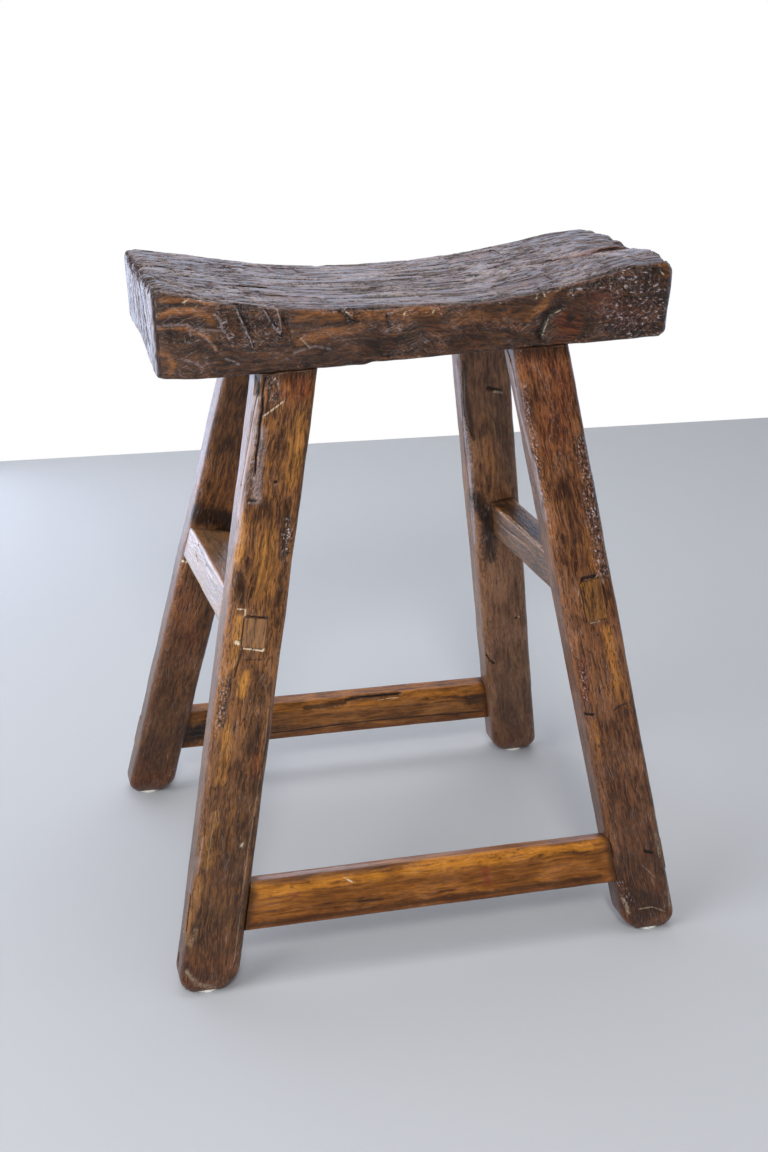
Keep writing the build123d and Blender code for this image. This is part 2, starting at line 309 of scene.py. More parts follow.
@dataclass(frozen=True)
class Mark:
    """A crack, chip, scratch or stain along a line of photograph pixels.

    The line lands on the piece that carries it. The mark sinks the surface by depth at its
    middle and colours it out to radius.
    """

    stain: Stain
    pixels: tuple[Pixel, ...]
    radius: float
    depth: float = 0.0
    strength: float = 1.0

    def apply(self, mesh: Mesh, tree: BVHTree, places: np.ndarray, normals: np.ndarray) -> np.ndarray:
        """Colours a mesh's layer and returns how far each vertex sinks.

        Args:
            mesh: The piece's mesh.
            tree: Its surface, for the camera's rays.
            places: Its vertices in millimetres.
            normals: Its vertex normals.

        Returns:
            The depth for each vertex in millimetres.
        """
        origin = Vector(PHOTO_CAMERA.place) * MM
        hits = [tree.ray_cast(origin, PHOTO_CAMERA.ray(pixel))[:2] for pixel in self.pixels]
        points = [np.array(hit) / MM for hit, _ in hits if hit is not None]
        if not points:
            LOG.warning("a %s mark at %s misses its piece", self.stain.value, self.pixels[0])
            return np.zeros(len(places))
        face = np.array(next(normal for hit, normal in hits if hit is not None))
        distance = np.full(len(places), np.inf)
        offset = np.zeros(len(places))
        beyond = np.zeros(len(places))
        segments = list(zip(points, points[1:] or points))
        for number, (start, end) in enumerate(segments):
            run = end - start
            length = math.sqrt(max(float(run @ run), TINY))
            share = (places - start) @ run / length**2
            near = np.linalg.norm(places - start - np.clip(share, 0, 1)[:, None] * run, axis=1)
            closer = near < distance
            distance = np.where(closer, near, distance)
            side = np.where((places - start) @ np.cross(face, run) < 0, -1.0, 1.0)
            offset = np.where(closer, near * side, offset)
            before = np.maximum(-share * length, 0) if number == 0 else 0
            after = np.maximum((share - 1) * length, 0) if number == len(segments) - 1 else 0
            beyond = np.where(closer, np.maximum(before, after), beyond)
        towards = np.array(PHOTO_CAMERA.place) - points[0]
        facing = smooth_step(*FACING, normals @ (towards / np.linalg.norm(towards)))
        ragged = 1 + RAGGED_SHARE * soft_noise(places / RAGGED_SIZE, RAGGED_SEED)
        reach = max(self.radius, SINK_RADIUS) if self.is_fine else self.radius
        cover = (1 - smooth_step(FULL_SHARE, 1.0, distance / (reach * ragged))) * facing
        if self.is_fine:
            self.draw_line(mesh, offset, beyond, facing)
        else:
            layer = read_layer(mesh, self.stain.value)
            write_layer(mesh, self.stain.value, np.maximum(layer, cover * self.strength))
        return self.depth * cover

    @property
    def is_fine(self) -> bool:
        """Whether the mark is a line too thin for the mesh, which the material draws."""
        return self.radius < FINE_RADIUS and f"fine_{self.stain.value}" in FINE_LAYERS

    def draw_line(self, mesh: Mesh, offset: np.ndarray, beyond: np.ndarray, facing: np.ndarray) -> None:
        """Stores a thin line as a signed distance, which stays sharp between the vertices.

        Args:
            mesh: The piece's mesh.
            offset: Signed distance of each vertex from the line in millimetres.
            beyond: How far each vertex lies past the line's ends.
            facing: Whether each vertex faces the camera.
        """
        name = f"fine_{self.stain.value}"
        lines = read_layer(mesh, name)
        if lines.ndim == 1:
            lines = np.zeros((len(offset), 3))
        weight = (1 - smooth_step(*LINE_FADE, np.abs(offset))) * (1 - smooth_step(*LINE_END_FADE, beyond))
        weight = weight * facing
        scaled = offset / self.radius
        wins = (weight > 0) & ((lines[:, 1] == 0) | (np.abs(scaled) < np.abs(lines[:, 0])))
        fresh = np.column_stack((scaled, weight * self.strength, np.zeros(len(offset))))
        write_layer(mesh, name, np.where(wins[:, None], fresh, lines))


def plain_layers(mesh: Mesh) -> None:
    """Gives a mesh every layer that the wood's material reads, empty where it had none."""
    for name in ("worn", *(stain.value for stain in Stain)):
        write_layer(mesh, name, read_layer(mesh, name))
    for name in FINE_LAYERS:
        write_layer(mesh, name, np.zeros((len(mesh.vertices), 3)))


def marks_from(rows: dict[Stain, tuple]) -> tuple[Mark, ...]:
    """Makes marks of rows: radius, depth and strength, then x and y of each pixel of the line."""
    return tuple(
        Mark(stain, tuple(zip(row[3::2], row[4::2])), *row[:3])
        for stain, group in rows.items()
        for row in group
    )


def apply_marks(mesh: Mesh, marks: tuple[Mark, ...]) -> None:
    """Puts all of a piece's marks on its mesh.

    Args:
        mesh: The piece's mesh, with the place of each vertex final but for the marks.
        marks: What the photograph shows on it.
    """
    tree = BVHTree.FromPolygons([v.co for v in mesh.vertices], [p.vertices for p in mesh.polygons])
    places = vertex_places(mesh)
    normals = vertex_normals(mesh)
    plain_layers(mesh)
    sink = np.zeros(len(places))
    for mark in marks:
        sink += mark.apply(mesh, tree, places, normals)
    move_vertices(mesh, places - normals * sink[:, None])


class Glaze(NamedTuple):
    """A colour that lies over the wood where a pattern goes from low to high.

    It covers by top at most, and only within a second pattern or layer if one is named.
    """

    colour: str
    pattern: str
    low: float
    high: float
    top: float = 1.0
    within: str = ""


@dataclass(frozen=True)
class ElmFinish:
    """Old elm under dark shellac and wax.

    The eye gets golden brown wood with short dark flecks along the grain, amber where the
    finish is thin, near-black in the joints, grime with painted shade, and a wet gloss broken
    up by fine pits, with a pale sheen and glints painted into the colour.
    """

    name: str
    body: str = "#75502c"
    heart: str = "#3a2314"
    amber: str = "#b5762c"
    honey: str = "#b8772c"
    red: str = "#7a3418"
    # Near-black of the wood's figure, its pits, grime and the dark marks, some of which are painted shade
    near_black: str = "#1a110c"
    pale: str = "#e0cdb0"
    # Pale lavender of the scratches and of the painted sheen and glints, which stand for the reflection of
    # a bright window
    pale_lavender: str = "#b5a7aa"
    weathered: str = "#5b4036"
    weathered_light: str = "#86756f"
    weathered_dark: str = "#281a14"
    amber_share: float = 0.35
    streak_width: float = 2.6
    streak_length: float = 38.0
    blotch_size: float = 20.0
    blotch_stretch: float = 2.2
    warp: float = 1.4
    warp_size: float = 26.0
    # The pores of elm and the pits and scratches of its shellac are 0.1 to 0.4 mm wide. They
    # are drawn three to six times as coarse, because finer ones don't show in the render.
    fleck_width: float = 1.3
    fleck_length: float = 10.0
    fleck_share: float = 0.72
    pit_size: float = 1.7
    pit_stretch: float = 1.5
    scratch_width: float = 0.8
    scratch_length: float = 16.0
    scratch_share: float = 0.34
    scratch_turns: tuple = ((0.0, 0.32, 0.0), (0.0, -0.2, 0.0))
    # Shares of pale specks in the pits, painted glints with some wax residue: in blotches and on worn
    # edges, and in pitted places
    glint_and_wax_share: float = 0.07
    pit_glints_and_wax: float = 0.95
    line_core: float = 0.55
    noise_roughness: float = 0.62
    noise_distortion: float = 0.4
    roughness: float = 0.34
    smoother: float = 0.08
    rougher: float = 0.12
    groove_roughness: float = 0.3
    coat: float = 0.5
    coat_roughness: float = 0.11
    specular: float = 0.12
    ior: float = 1.5
    bump: float = 0.75
    bump_strength: float = 0.75

    def wood_glazes(self) -> tuple[Glaze, ...]:
        """The colours of the wood under its shellac, from the lowest up."""
        lift = 0.1 * (self.amber_share - ElmFinish.amber_share)
        return (
            Glaze(self.heart, "figure", 0.64, 0.53),
            Glaze(self.near_black, "figure", 0.54, 0.45, 0.85),
            Glaze(self.amber, "figure", 0.62 - lift, 0.75 - lift, 0.9),
            Glaze(self.amber, "pits", 0.38, 0.6, within="worn"),
            Glaze(self.red, "streaks", 0.25, 0.6, within="red"),
            Glaze(self.honey, "figure", 0.5, 0.66, within="amber"),
            Glaze(self.amber, "flecks", 0.46, 0.37, self.fleck_share * 0.7),
            Glaze(self.near_black, "flecks", 0.53, 0.62, self.fleck_share),
        )

    def bare_glazes(self) -> tuple[Glaze, ...]:
        """The colours of wood that is worn bare and grey, over its dark ground."""
        return (
            Glaze(self.weathered, "streaks", 0.36, 0.53),
            Glaze(self.weathered_light, "blotches", 0.47, 0.64),
            Glaze(self.weathered_dark, "flecks", 0.53, 0.59),
        )

    def surface_glazes(self) -> tuple[Glaze, ...]:
        """What lies on the wood, from the lowest up: grime, a painted sheen, dark marks with some painted
        shade, painted glints, scratches, chips and thin lines, some of them painted glints.
        """
        scratches = (
            Glaze(self.pale_lavender, f"scratches_{number}", 0.64, 0.72, self.scratch_share, "rubbed")
            for number in range(len(self.scratch_turns))
        )
        return (
            Glaze(self.weathered_dark, "groove", 0.15, 0.6),
            Glaze(self.near_black, "pits", 0.5, 0.4, 0.9, "pitted"),
            # Painted sheen: the reflection of a bright window, laid as colour where the sheen marks are
            Glaze(self.pale_lavender, "streaks", 0.3, 0.6, within="waxed"),
            # Dark marks; at the joints and low parts they are partly painted shade
            Glaze(self.near_black, "streaks", 0.2, 0.5, within="dark"),
            # Painted glints: pale specks in the pits, with some wax residue
            Glaze(self.pale_lavender, "pits", 0.59, 0.68, within="glints_and_wax"),
            *scratches,
            # Chips, and in places painted glints
            Glaze(self.pale, "pits", 0.35, 0.58, within="pale"),
            Glaze(self.near_black, "fine_dark", 0.0, 1.0),
            # Thin lines of painted glints and of pale scratches
            Glaze(self.pale_lavender, "pits", 0.35, 0.5, within="fine_waxed"),
            Glaze(self.pale, "flecks", 0.62, 0.5, within="fine_pale"),
        )

    def grain_place(self, tree: NodeTree) -> NodeSocket:
        """Adds the piece's own grain coordinates, in metres, with a slow wander across the grain."""
        add = partial(add_node, tree)
        timber = add("ShaderNodeAttribute", attribute_name="timber").outputs["Vector"]
        wander = add(
            NOISE, {"Vector": timber, "Scale": 1 / (self.warp_size * MM), "Detail": 2.0}
        ).outputs["Color"]
        bend = self.warp * MM * 4
        return add(
            VECTOR_MATH, {0: wander, 1: (bend, bend, 0.0), 2: timber}, operation="MULTIPLY_ADD"
        ).outputs[0]

    def patterns(self, tree: NodeTree) -> dict[str, NodeSocket]:
        """Adds noises stretched along the grain.

        Args:
            tree: The material's tree.

        Returns:
            The value of each noise, between 0 and 1, by its name.
        """
        add = partial(add_node, tree)
        straight = (0.0, 0.0, 0.0)
        # Name, then width and length in millimetres, octaves, and turn from the grain as Euler angles
        rows = [
            ("streaks", self.streak_width, self.streak_length, 4.0, straight),
            ("flecks", self.fleck_width, self.fleck_length, 2.0, straight),
            ("blotches", self.blotch_size, self.blotch_size * self.blotch_stretch, 4.0, straight),
            ("pits", self.pit_size, self.pit_size * self.pit_stretch, 2.0, straight),
        ]
        for number, turn in enumerate(self.scratch_turns):
            rows.append((f"scratches_{number}", self.scratch_width, self.scratch_length, 1.0, turn))
        grain = self.grain_place(tree)
        found = {}
        for name, width, length, octaves, turn in rows:
            scale = (width * MM, width * MM, length * MM)
            place = add(
                "ShaderNodeMapping",
                {"Vector": grain, "Rotation": turn, "Scale": scale},
                vector_type="TEXTURE",
            ).outputs[0]
            look = {"Vector": place, "Scale": 1.0, "Detail": octaves}
            look |= {"Roughness": self.noise_roughness, "Distortion": self.noise_distortion}
            found[name] = add(NOISE, look).outputs["Fac"]
        return found

    def layers(self, tree: NodeTree) -> dict[str, NodeSocket]:
        """Adds the layers that the mesh carries.

        Args:
            tree: The material's tree.

        Returns:
            The value of each layer by its name; a thin line's is made of its signed distance.
        """
        add = partial(add_node, tree)
        found = {}
        for name in ("worn", "weather", "groove", *(stain.value for stain in Stain)):
            found[name] = add("ShaderNodeAttribute", attribute_name=name).outputs["Fac"]
        for name in FINE_LAYERS:
            line = add("ShaderNodeAttribute", attribute_name=name).outputs["Vector"]
            line = add(SPLIT_XYZ, {0: line})
            away = add(MATH, {0: line.outputs[0]}, operation="ABSOLUTE").outputs[0]
            reach = {"Value": away, "From Min": 1.0, "From Max": self.line_core}
            core = add(MAP_RANGE, reach).outputs[0]
            both = {0: core, 1: line.outputs[1]}
            found[name] = add(MATH, both, operation="MULTIPLY").outputs[0]
        return found

    def signals(self, tree: NodeTree) -> dict[str, NodeSocket]:
        """Adds all that the glazes and the relief are made of.

        Args:
            tree: The material's tree.

        Returns:
            The value of each layer, pattern and sum of them, by its name.
        """
        add = partial(add_node, tree)
        found = self.layers(tree) | self.patterns(tree)
        for name, low, high in (("speckled", 0.5, 0.65), ("rubbed", 0.46, 0.62)):
            reach = {"Value": found["blotches"], "From Min": low, "From Max": high}
            found[name] = add(MAP_RANGE, reach).outputs[0]
        both = {0: found["pits"], 1: found["pitted"]}
        found["sunk_pits"] = add(MATH, both, operation="MULTIPLY").outputs[0]
        sums = {
            "figure": {"streaks": 0.5, "flecks": 0.3, "blotches": 0.4},
            # Where the pale specks of painted glints, with some wax residue, go
            "glints_and_wax": {"speckled": self.glint_and_wax_share, "worn": self.glint_and_wax_share * 4, "pitted": self.pit_glints_and_wax},
            "relief": {"streaks": 1.0, "flecks": -0.9, "pits": 0.7, "sunk_pits": 3.6, "fine_dark": -1.2},
        }
        for name, shares in sums.items():
            total = 0.0
            for part, share in shares.items():
                total = add(MATH, {0: found[part], 1: share, 2: total}, operation="MULTIPLY_ADD").outputs[0]
            found[name] = total
        return found

    def build(self) -> Material:
        """Makes the material.

        Returns:
            The material, with its node tree.
        """
        material = new_material(self.name)
        tree = material.node_tree
        add = partial(add_node, tree)
        signals = self.signals(tree)
        wood = self.lay(tree, signals, linear(self.body), self.wood_glazes())
        bare = self.lay(tree, signals, linear(self.weathered_dark), self.bare_glazes())
        worn = {0: signals["weather"], 6: wood, 7: bare}
        wood = add(MIX, worn, data_type="RGBA").outputs[2]
        wood = self.lay(tree, signals, wood, self.surface_glazes())
        bump = add(
            "ShaderNodeBump",
            {"Height": signals["relief"], "Strength": self.bump_strength, "Distance": self.bump * MM},
        ).outputs[0]
        reach = {"Value": signals["blotches"], "From Min": 0.3, "From Max": 0.7}
        reach |= {"To Min": self.roughness - self.smoother, "To Max": self.roughness + self.rougher}
        rough = add(MAP_RANGE, reach).outputs[0]
        more = {0: signals["groove"], 1: self.groove_roughness, 2: rough}
        rough = add(MATH, more, operation="MULTIPLY_ADD").outputs[0]
        shader = add(
            "ShaderNodeBsdfPrincipled",
            {
                "Base Color": wood,
                "Roughness": rough,
                "IOR": self.ior,
                "Specular IOR Level": self.specular,
                "Coat Weight": self.coat,
                "Coat Roughness": self.coat_roughness,
                "Normal": bump,
                "Coat Normal": bump,
            },
        )
        add("ShaderNodeOutputMaterial", {"Surface": shader.outputs[0]})
        return material

    def lay(
        self,
        tree: NodeTree,
        signals: dict[str, NodeSocket],
        ground: NodeSocket | tuple[float, float, float, float],
        glazes: tuple[Glaze, ...],
    ) -> NodeSocket:
        """Lays glazes over a ground, one after the other.

        Args:
            tree: The material's tree.
            signals: The patterns and layers by their names.
            ground: The colour below the glazes.
            glazes: The glazes, from the lowest up.

        Returns:
            The colour on top.
        """
        add = partial(add_node, tree)
        colour = ground
        for glaze in glazes:
            reach = {"From Min": glaze.low, "From Max": glaze.high, "To Max": glaze.top}
            share = add(MAP_RANGE, {"Value": signals[glaze.pattern], **reach}).outputs[0]
            if glaze.within:
                both = {0: signals[glaze.within], 1: share}
                share = add(MATH, both, operation="MULTIPLY").outputs[0]
            over = {0: share, 6: colour, 7: linear(glaze.colour)}
            colour = add(MIX, over, data_type="RGBA").outputs[2]
        return colour


@dataclass(frozen=True)
class PadFinish:
    """Moulded white polyethylene of a glide pad: matt, faintly yellowed, with scuffs from the floor."""

    name: str = "moulded_polyethylene"
    colour: str = "#f6f4ee"
    scuffed: str = "#b7b2a6"
    scuff_size: float = 3.0
    roughness: float = 0.55
    bump: float = 0.2

    def build(self) -> Material:
        """Makes the material.

        Returns:
            The material, with its node tree.
        """
        material = new_material(self.name)
        tree = material.node_tree
        add = partial(add_node, tree)
        place = add("ShaderNodeTexCoord").outputs["Object"]
        look = {"Vector": place, "Scale": 1 / (self.scuff_size * MM), "Detail": 3.0}
        noise = add(NOISE, look).outputs["Fac"]
        reach = {"Value": noise, "From Min": 0.5, "From Max": 0.75}
        share = add(MAP_RANGE, reach).outputs[0]
        over = {0: share, 6: linear(self.colour), 7: linear(self.scuffed)}
        colour = add(MIX, over, data_type="RGBA").outputs[2]
        relief = {"Height": noise, "Strength": 0.3, "Distance": self.bump * MM}
        bump = add("ShaderNodeBump", relief).outputs[0]
        matt = {"Base Color": colour, "Roughness": self.roughness, "Normal": bump}
        shader = add("ShaderNodeBsdfPrincipled", matt)
        add("ShaderNodeOutputMaterial", {"Surface": shader.outputs[0]})
        return material


# A bar's rounded corners have this many steps, and its toe draws in by this power of its height
ARRIS_STEPS = 10
TOE_CURVE = 2.2

# Grooves wander with the grain: waves in a metre, and metres to the side. They are cut where the
# grain's noise passes from the first value to the second.
WANDER_SCALE = 14.0
WANDER_REACH = 0.009
GROOVE_EDGE = (0.5, 0.59)

BAR_SOCKETS = {
    "NodeSocketVector": (
        "Start", "End", "Side Start", "Side End", "Across Start", "Across End", "Toe Scale", "Bevel",
    ),
    "NodeSocketFloat": ("Width", "Depth", "Arris", "Taper", "Toe Height"),
    "NodeSocketInt": ("Rings", "Around"),
}

WEATHER_SOCKETS = {
    "NodeSocketGeometry": ("Geometry",),
    "NodeSocketFloat": (
        "Unevenness", "Uneven Size", "Groove Depth", "Groove Pitch", "Groove Length", "Seed",
    ),
    "NodeSocketMaterial": ("Finish",),
}


def new_geometry_tree(name: str, sockets: dict[str, tuple[str, ...]]) -> NodeTree:
    """Makes a geometry node tree with named inputs.

    Args:
        name: The tree's name.
        sockets: Names of the inputs by their kind.

    Returns:
        The tree, without nodes.
    """
    tree = bpy.data.node_groups.new(name, "GeometryNodeTree")
    for kind, names in sockets.items():
        for socket in names:
            tree.interface.new_socket(socket, in_out="INPUT", socket_type=kind)
    tree.interface.new_socket("Geometry", in_out="OUTPUT", socket_type="NodeSocketGeometry")
    return tree


def bar_tree() -> NodeTree:
    """Makes the node tree of a hewn bar: a rounded section carried from one frame to another.

    Returns:
        The tree, with an input for each of the bar's sizes.
    """
    tree = new_geometry_tree("hewn_bar", BAR_SOCKETS)
    add = partial(add_node, tree)
    sizes = add("NodeGroupInput").outputs
    outline = add(
        "GeometryNodeCurvePrimitiveQuadrilateral",
        {"Width": sizes["Width"], "Height": sizes["Depth"]},
        mode="RECTANGLE",
    ).outputs[0]
    rounded = add(
        "GeometryNodeFilletCurve",
        {"Curve": outline, "Count": ARRIS_STEPS, "Radius": sizes["Arris"]},
        mode="POLY",
    ).outputs[0]
    ends = {"Start": (0, 0, 0), "End": (0, 0, 1)}
    line = add("GeometryNodeCurvePrimitiveLine", ends).outputs[0]
    resample = "GeometryNodeResampleCurve"
    section, path = (
        add(resample, {"Curve": curve, "Count": sizes[count]}, mode="COUNT").outputs[0]
        for curve, count in ((rounded, "Around"), (line, "Rings"))
    )
    tube = add(
        "GeometryNodeCurveToMesh", {"Curve": path, "Profile Curve": section, "Fill Caps": True}
    ).outputs[0]
    position = add("GeometryNodeInputPosition").outputs[0]
    part = add(SPLIT_XYZ, {0: position}).outputs
    ends = {0: sizes["End"], 1: sizes["Start"]}
    run = add(VECTOR_MATH, ends, operation="SUBTRACT").outputs[0]
    length = add(VECTOR_MATH, {0: run}, operation="LENGTH").outputs["Value"]
    along = add(MATH, {0: part[2], 1: length}, operation="MULTIPLY").outputs[0]
    flat = add(JOIN_XYZ, {0: part[0], 1: part[1]}).outputs[0]

    # The bevel takes off what lies outside the line between its two ends
    bevel = add(SPLIT_XYZ, {0: sizes["Bevel"]}).outputs
    leaning = [add(MATH, {0: 1.0, 1: bevel[side]}, operation="DIVIDE").outputs[0] for side in (0, 1)]
    slant = add(JOIN_XYZ, {0: leaning[0], 1: leaning[1]}).outputs[0]
    size = add(JOIN_XYZ, {0: sizes["Width"], 1: sizes["Depth"]}).outputs[0]
    half = add(VECTOR_MATH, {0: size, "Scale": 0.5}, operation="SCALE").outputs[0]
    inside = add(VECTOR_MATH, {0: flat, 1: half}, operation="SUBTRACT").outputs[0]
    excess = add(VECTOR_MATH, {0: inside, 1: slant}, operation="DOT_PRODUCT").outputs["Value"]
    over = add(MATH, {0: excess, 1: 1.0}, operation="ADD", use_clamp=True).outputs[0]
    share = add(MATH, {0: over, 1: -0.5}, operation="MULTIPLY").outputs[0]
    taken = add(VECTOR_MATH, {0: sizes["Bevel"], "Scale": share}, operation="SCALE").outputs[0]
    flat = add(VECTOR_MATH, {0: flat, 1: taken}, operation="ADD").outputs[0]

    # The toe draws the section in towards the bar's start, and the taper changes its width
    left = add(
        MAP_RANGE,
        {"Value": along, "From Min": 0.0, "From Max": sizes["Toe Height"], "To Min": 1.0, "To Max": 0.0},
    ).outputs[0]
    left = add(MATH, {0: left, 1: TOE_CURVE}, operation="POWER").outputs[0]
    drawn = add(MIX, {0: left, 4: (1, 1, 1), 5: sizes["Toe Scale"]}, data_type="VECTOR").outputs[1]
    flat = add(VECTOR_MATH, {0: flat, 1: drawn}, operation="MULTIPLY").outputs[0]
    tapered = add(MAP_RANGE, {"Value": part[2], "To Min": 1.0, "To Max": sizes["Taper"]}).outputs[0]
    shaped = add(SPLIT_XYZ, {0: flat}).outputs
    wide = add(MATH, {0: shaped[0], 1: tapered}, operation="MULTIPLY").outputs[0]

    timber = add(JOIN_XYZ, {0: wide, 1: shaped[1], 2: along}).outputs[0]
    stored = add(
        "GeometryNodeStoreNamedAttribute",
        {"Geometry": tube, "Name": "timber", "Value": timber},
        data_type="FLOAT_VECTOR",
        domain="POINT",
    )
    place = (0.0, 0.0, 0.0)
    for scale, first, last in (
        (1.0, "Start", "End"),
        (wide, "Side Start", "Side End"),
        (shaped[1], "Across Start", "Across End"),
    ):
        direction = add(MIX, {0: part[2], 4: sizes[first], 5: sizes[last]}, data_type="VECTOR").outputs[1]
        step = add(VECTOR_MATH, {0: direction, "Scale": scale}, operation="SCALE").outputs[0]
        place = add(VECTOR_MATH, {0: place, 1: step}, operation="ADD").outputs[0]
    put = add("GeometryNodeSetPosition", {"Geometry": stored.outputs[0], "Position": place})
    real = add("GeometryNodeRealizeInstances", {"Geometry": put.outputs[0]})
    add("NodeGroupOutput", {"Geometry": real.outputs[0]})
    return tree


def weather_tree() -> NodeTree:
    """Makes the node tree that ages a timber: unevenness of the hewing and grooves along the grain.

    It reads the timber layer, whose third coordinate runs along the grain, and the weather
    layer, which says how far the grain is washed out. It stores how deep in a groove each
    vertex lies.

    Returns:
        The tree, with an input for each size and the finish.
    """
    tree = new_geometry_tree("aged_grain", WEATHER_SOCKETS)
    add = partial(add_node, tree)
    sizes = add("NodeGroupInput").outputs
    timber, weather = (
        add("GeometryNodeInputNamedAttribute", {"Name": name}, data_type=kind).outputs[0]
        for name, kind in (("timber", "FLOAT_VECTOR"), ("weather", "FLOAT"))
    )
    wide, pitch, reach = (
        add(MATH, {0: 1.0, 1: sizes[name]}, operation="DIVIDE").outputs[0]
        for name in ("Uneven Size", "Groove Pitch", "Groove Length")
    )
    lumps = add(
        NOISE,
        {"Vector": timber, "W": sizes["Seed"], "Scale": wide, "Detail": 4.0, "Roughness": 0.45},
        noise_dimensions="4D",
    ).outputs["Fac"]
    centred = add(MATH, {0: lumps, 1: 0.5}, operation="SUBTRACT").outputs[0]
    hewn = add(MATH, {0: centred, 1: sizes["Unevenness"]}, operation="MULTIPLY").outputs[0]
    stretch = add(JOIN_XYZ, {0: pitch, 1: pitch, 2: reach}).outputs[0]
    wander = add(
        NOISE,
        {"Vector": timber, "W": sizes["Seed"], "Scale": WANDER_SCALE, "Detail": 1.0},
        noise_dimensions="4D",
    ).outputs["Color"]
    bend = {0: wander, 1: (WANDER_REACH, WANDER_REACH, 0.0), 2: timber}
    bent = add(VECTOR_MATH, bend, operation="MULTIPLY_ADD").outputs[0]
    grain = add(VECTOR_MATH, {0: bent, 1: stretch}, operation="MULTIPLY").outputs[0]
    lines = add(
        NOISE,
        {"Vector": grain, "W": sizes["Seed"], "Scale": 1.0, "Detail": 2.0, "Roughness": 0.55},
        noise_dimensions="4D",
    ).outputs["Fac"]
    groove = add(
        MAP_RANGE,
        {"Value": lines, "From Min": GROOVE_EDGE[0], "From Max": GROOVE_EDGE[1]},
        interpolation_type="SMOOTHSTEP",
    ).outputs[0]
    groove = add(MATH, {0: groove, 1: weather}, operation="MULTIPLY").outputs[0]
    kept = add(
        "GeometryNodeStoreNamedAttribute",
        {"Geometry": sizes["Geometry"], "Name": "groove", "Value": groove},
        data_type="FLOAT",
        domain="POINT",
    )
    sunk = add(MATH, {0: groove, 1: sizes["Groove Depth"]}, operation="MULTIPLY").outputs[0]
    rise = add(MATH, {0: hewn, 1: sunk}, operation="SUBTRACT").outputs[0]
    normal = add("GeometryNodeInputNormal").outputs[0]
    offset = add(VECTOR_MATH, {0: normal, "Scale": rise}, operation="SCALE").outputs[0]
    aged = add("GeometryNodeSetPosition", {"Geometry": kept.outputs[0], "Offset": offset})
    smooth = add("GeometryNodeSetShadeSmooth", {"Geometry": aged.outputs[0]})
    real = add("GeometryNodeRealizeInstances", {"Geometry": smooth.outputs[0]})
    dressed = add("GeometryNodeSetMaterial", {"Geometry": real.outputs[0], "Material": sizes["Finish"]})
    add("NodeGroupOutput", {"Geometry": dressed.outputs[0]})
    return tree


def grow(mesh: Mesh, tree: NodeTree, values: dict) -> Mesh:
    """Runs a node tree on a mesh.

    Args:
        mesh: The mesh that goes in; it is used up.
        tree: The geometry node tree.
        values: Input name to value.

    Returns:
        The mesh that comes out, plain and without modifiers.
    """
    holder = put_in_scene("holder", mesh)
    modifier = holder.modifiers.new("nodes", "NODES")
    modifier.node_group = tree
    for item in tree.interface.items_tree:
        if item.in_out == "INPUT" and item.name in values:
            modifier[item.identifier] = values[item.name]
    return settle(holder)


def settle(holder: Object) -> Mesh:
    """Returns a modified object's mesh as it stands, and removes the object."""
    bpy.context.view_layer.update()
    graph = bpy.context.evaluated_depsgraph_get()
    shown = holder.evaluated_get(graph)
    result = bpy.data.meshes.new_from_object(shown, preserve_all_data_layers=True, depsgraph=graph)
    bpy.data.objects.remove(holder)
    return result


def cut(mesh: Mesh, cutters: list[Mesh]) -> Mesh:
    """Cuts other meshes out of a mesh.

    Args:
        mesh: The mesh to cut; it is used up.
        cutters: The meshes to take away from it; they are used up.

    Returns:
        The mesh that is left.
    """
    holder = put_in_scene("cut_piece", mesh)
    tools = [put_in_scene("cutter", cutter) for cutter in cutters]
    for tool in tools:
        modifier = holder.modifiers.new("cut", "BOOLEAN")
        modifier.operation = "DIFFERENCE"
        modifier.solver = "EXACT"
        modifier.object = tool
    result = settle(holder)
    for tool in tools:
        bpy.data.objects.remove(tool)
    return result


def join(meshes: list[Mesh]) -> Mesh:
    """Joins meshes with their layers to one mesh.

    Args:
        meshes: The meshes, of which the first keeps its name and finish.

    Returns:
        The joined mesh.
    """
    objects = [put_in_scene("joined", mesh) for mesh in meshes]
    with bpy.context.temp_override(active_object=objects[0], selected_editable_objects=objects):
        bpy.ops.object.join()
    result = objects[0].data
    bpy.data.objects.remove(objects[0])
    return result


@dataclass
class Bar:
    """A hewn bar whose section is carried from a frame at its start to one at its end."""

    start: Vector
    end: Vector
    width: float
    depth: float
    side: Ends = (Vector((1, 0, 0)), Vector((1, 0, 0)))
    across: Ends = (Vector((0, 1, 0)), Vector((0, 1, 0)))
    arris: float = 1.0
    taper: float = 1.0
    toe_height: float = 0.001
    toe_scale: tuple[float, float] = (1.0, 1.0)
    bevel: tuple[float, float] = (0.001, 0.001)
    step: float = 1.35

    def mesh(self, tree: NodeTree) -> Mesh:
        """Builds the bar's mesh.

        Args:
            tree: The tree that bar_tree made.

        Returns:
            The mesh in metres, with its timber layer.
        """
        length = (self.end - self.start).length
        around = 2 * (self.width + self.depth)
        values = {
            "Start": tuple(self.start * MM),
            "End": tuple(self.end * MM),
            "Side Start": tuple(self.side[0]),
            "Side End": tuple(self.side[1]),
            "Across Start": tuple(self.across[0]),
            "Across End": tuple(self.across[1]),
            "Width": self.width * MM,
            "Depth": self.depth * MM,
            "Arris": self.arris * MM,
            "Taper": self.taper,
            "Toe Height": self.toe_height * MM,
            "Toe Scale": (*self.toe_scale, 1.0),
            "Bevel": (self.bevel[0] * MM, self.bevel[1] * MM, 0.0),
            "Rings": max(4, round(length / self.step)),
            "Around": max(16, round(around / self.step)),
        }
        return grow(bpy.data.meshes.new("bar"), tree, values)


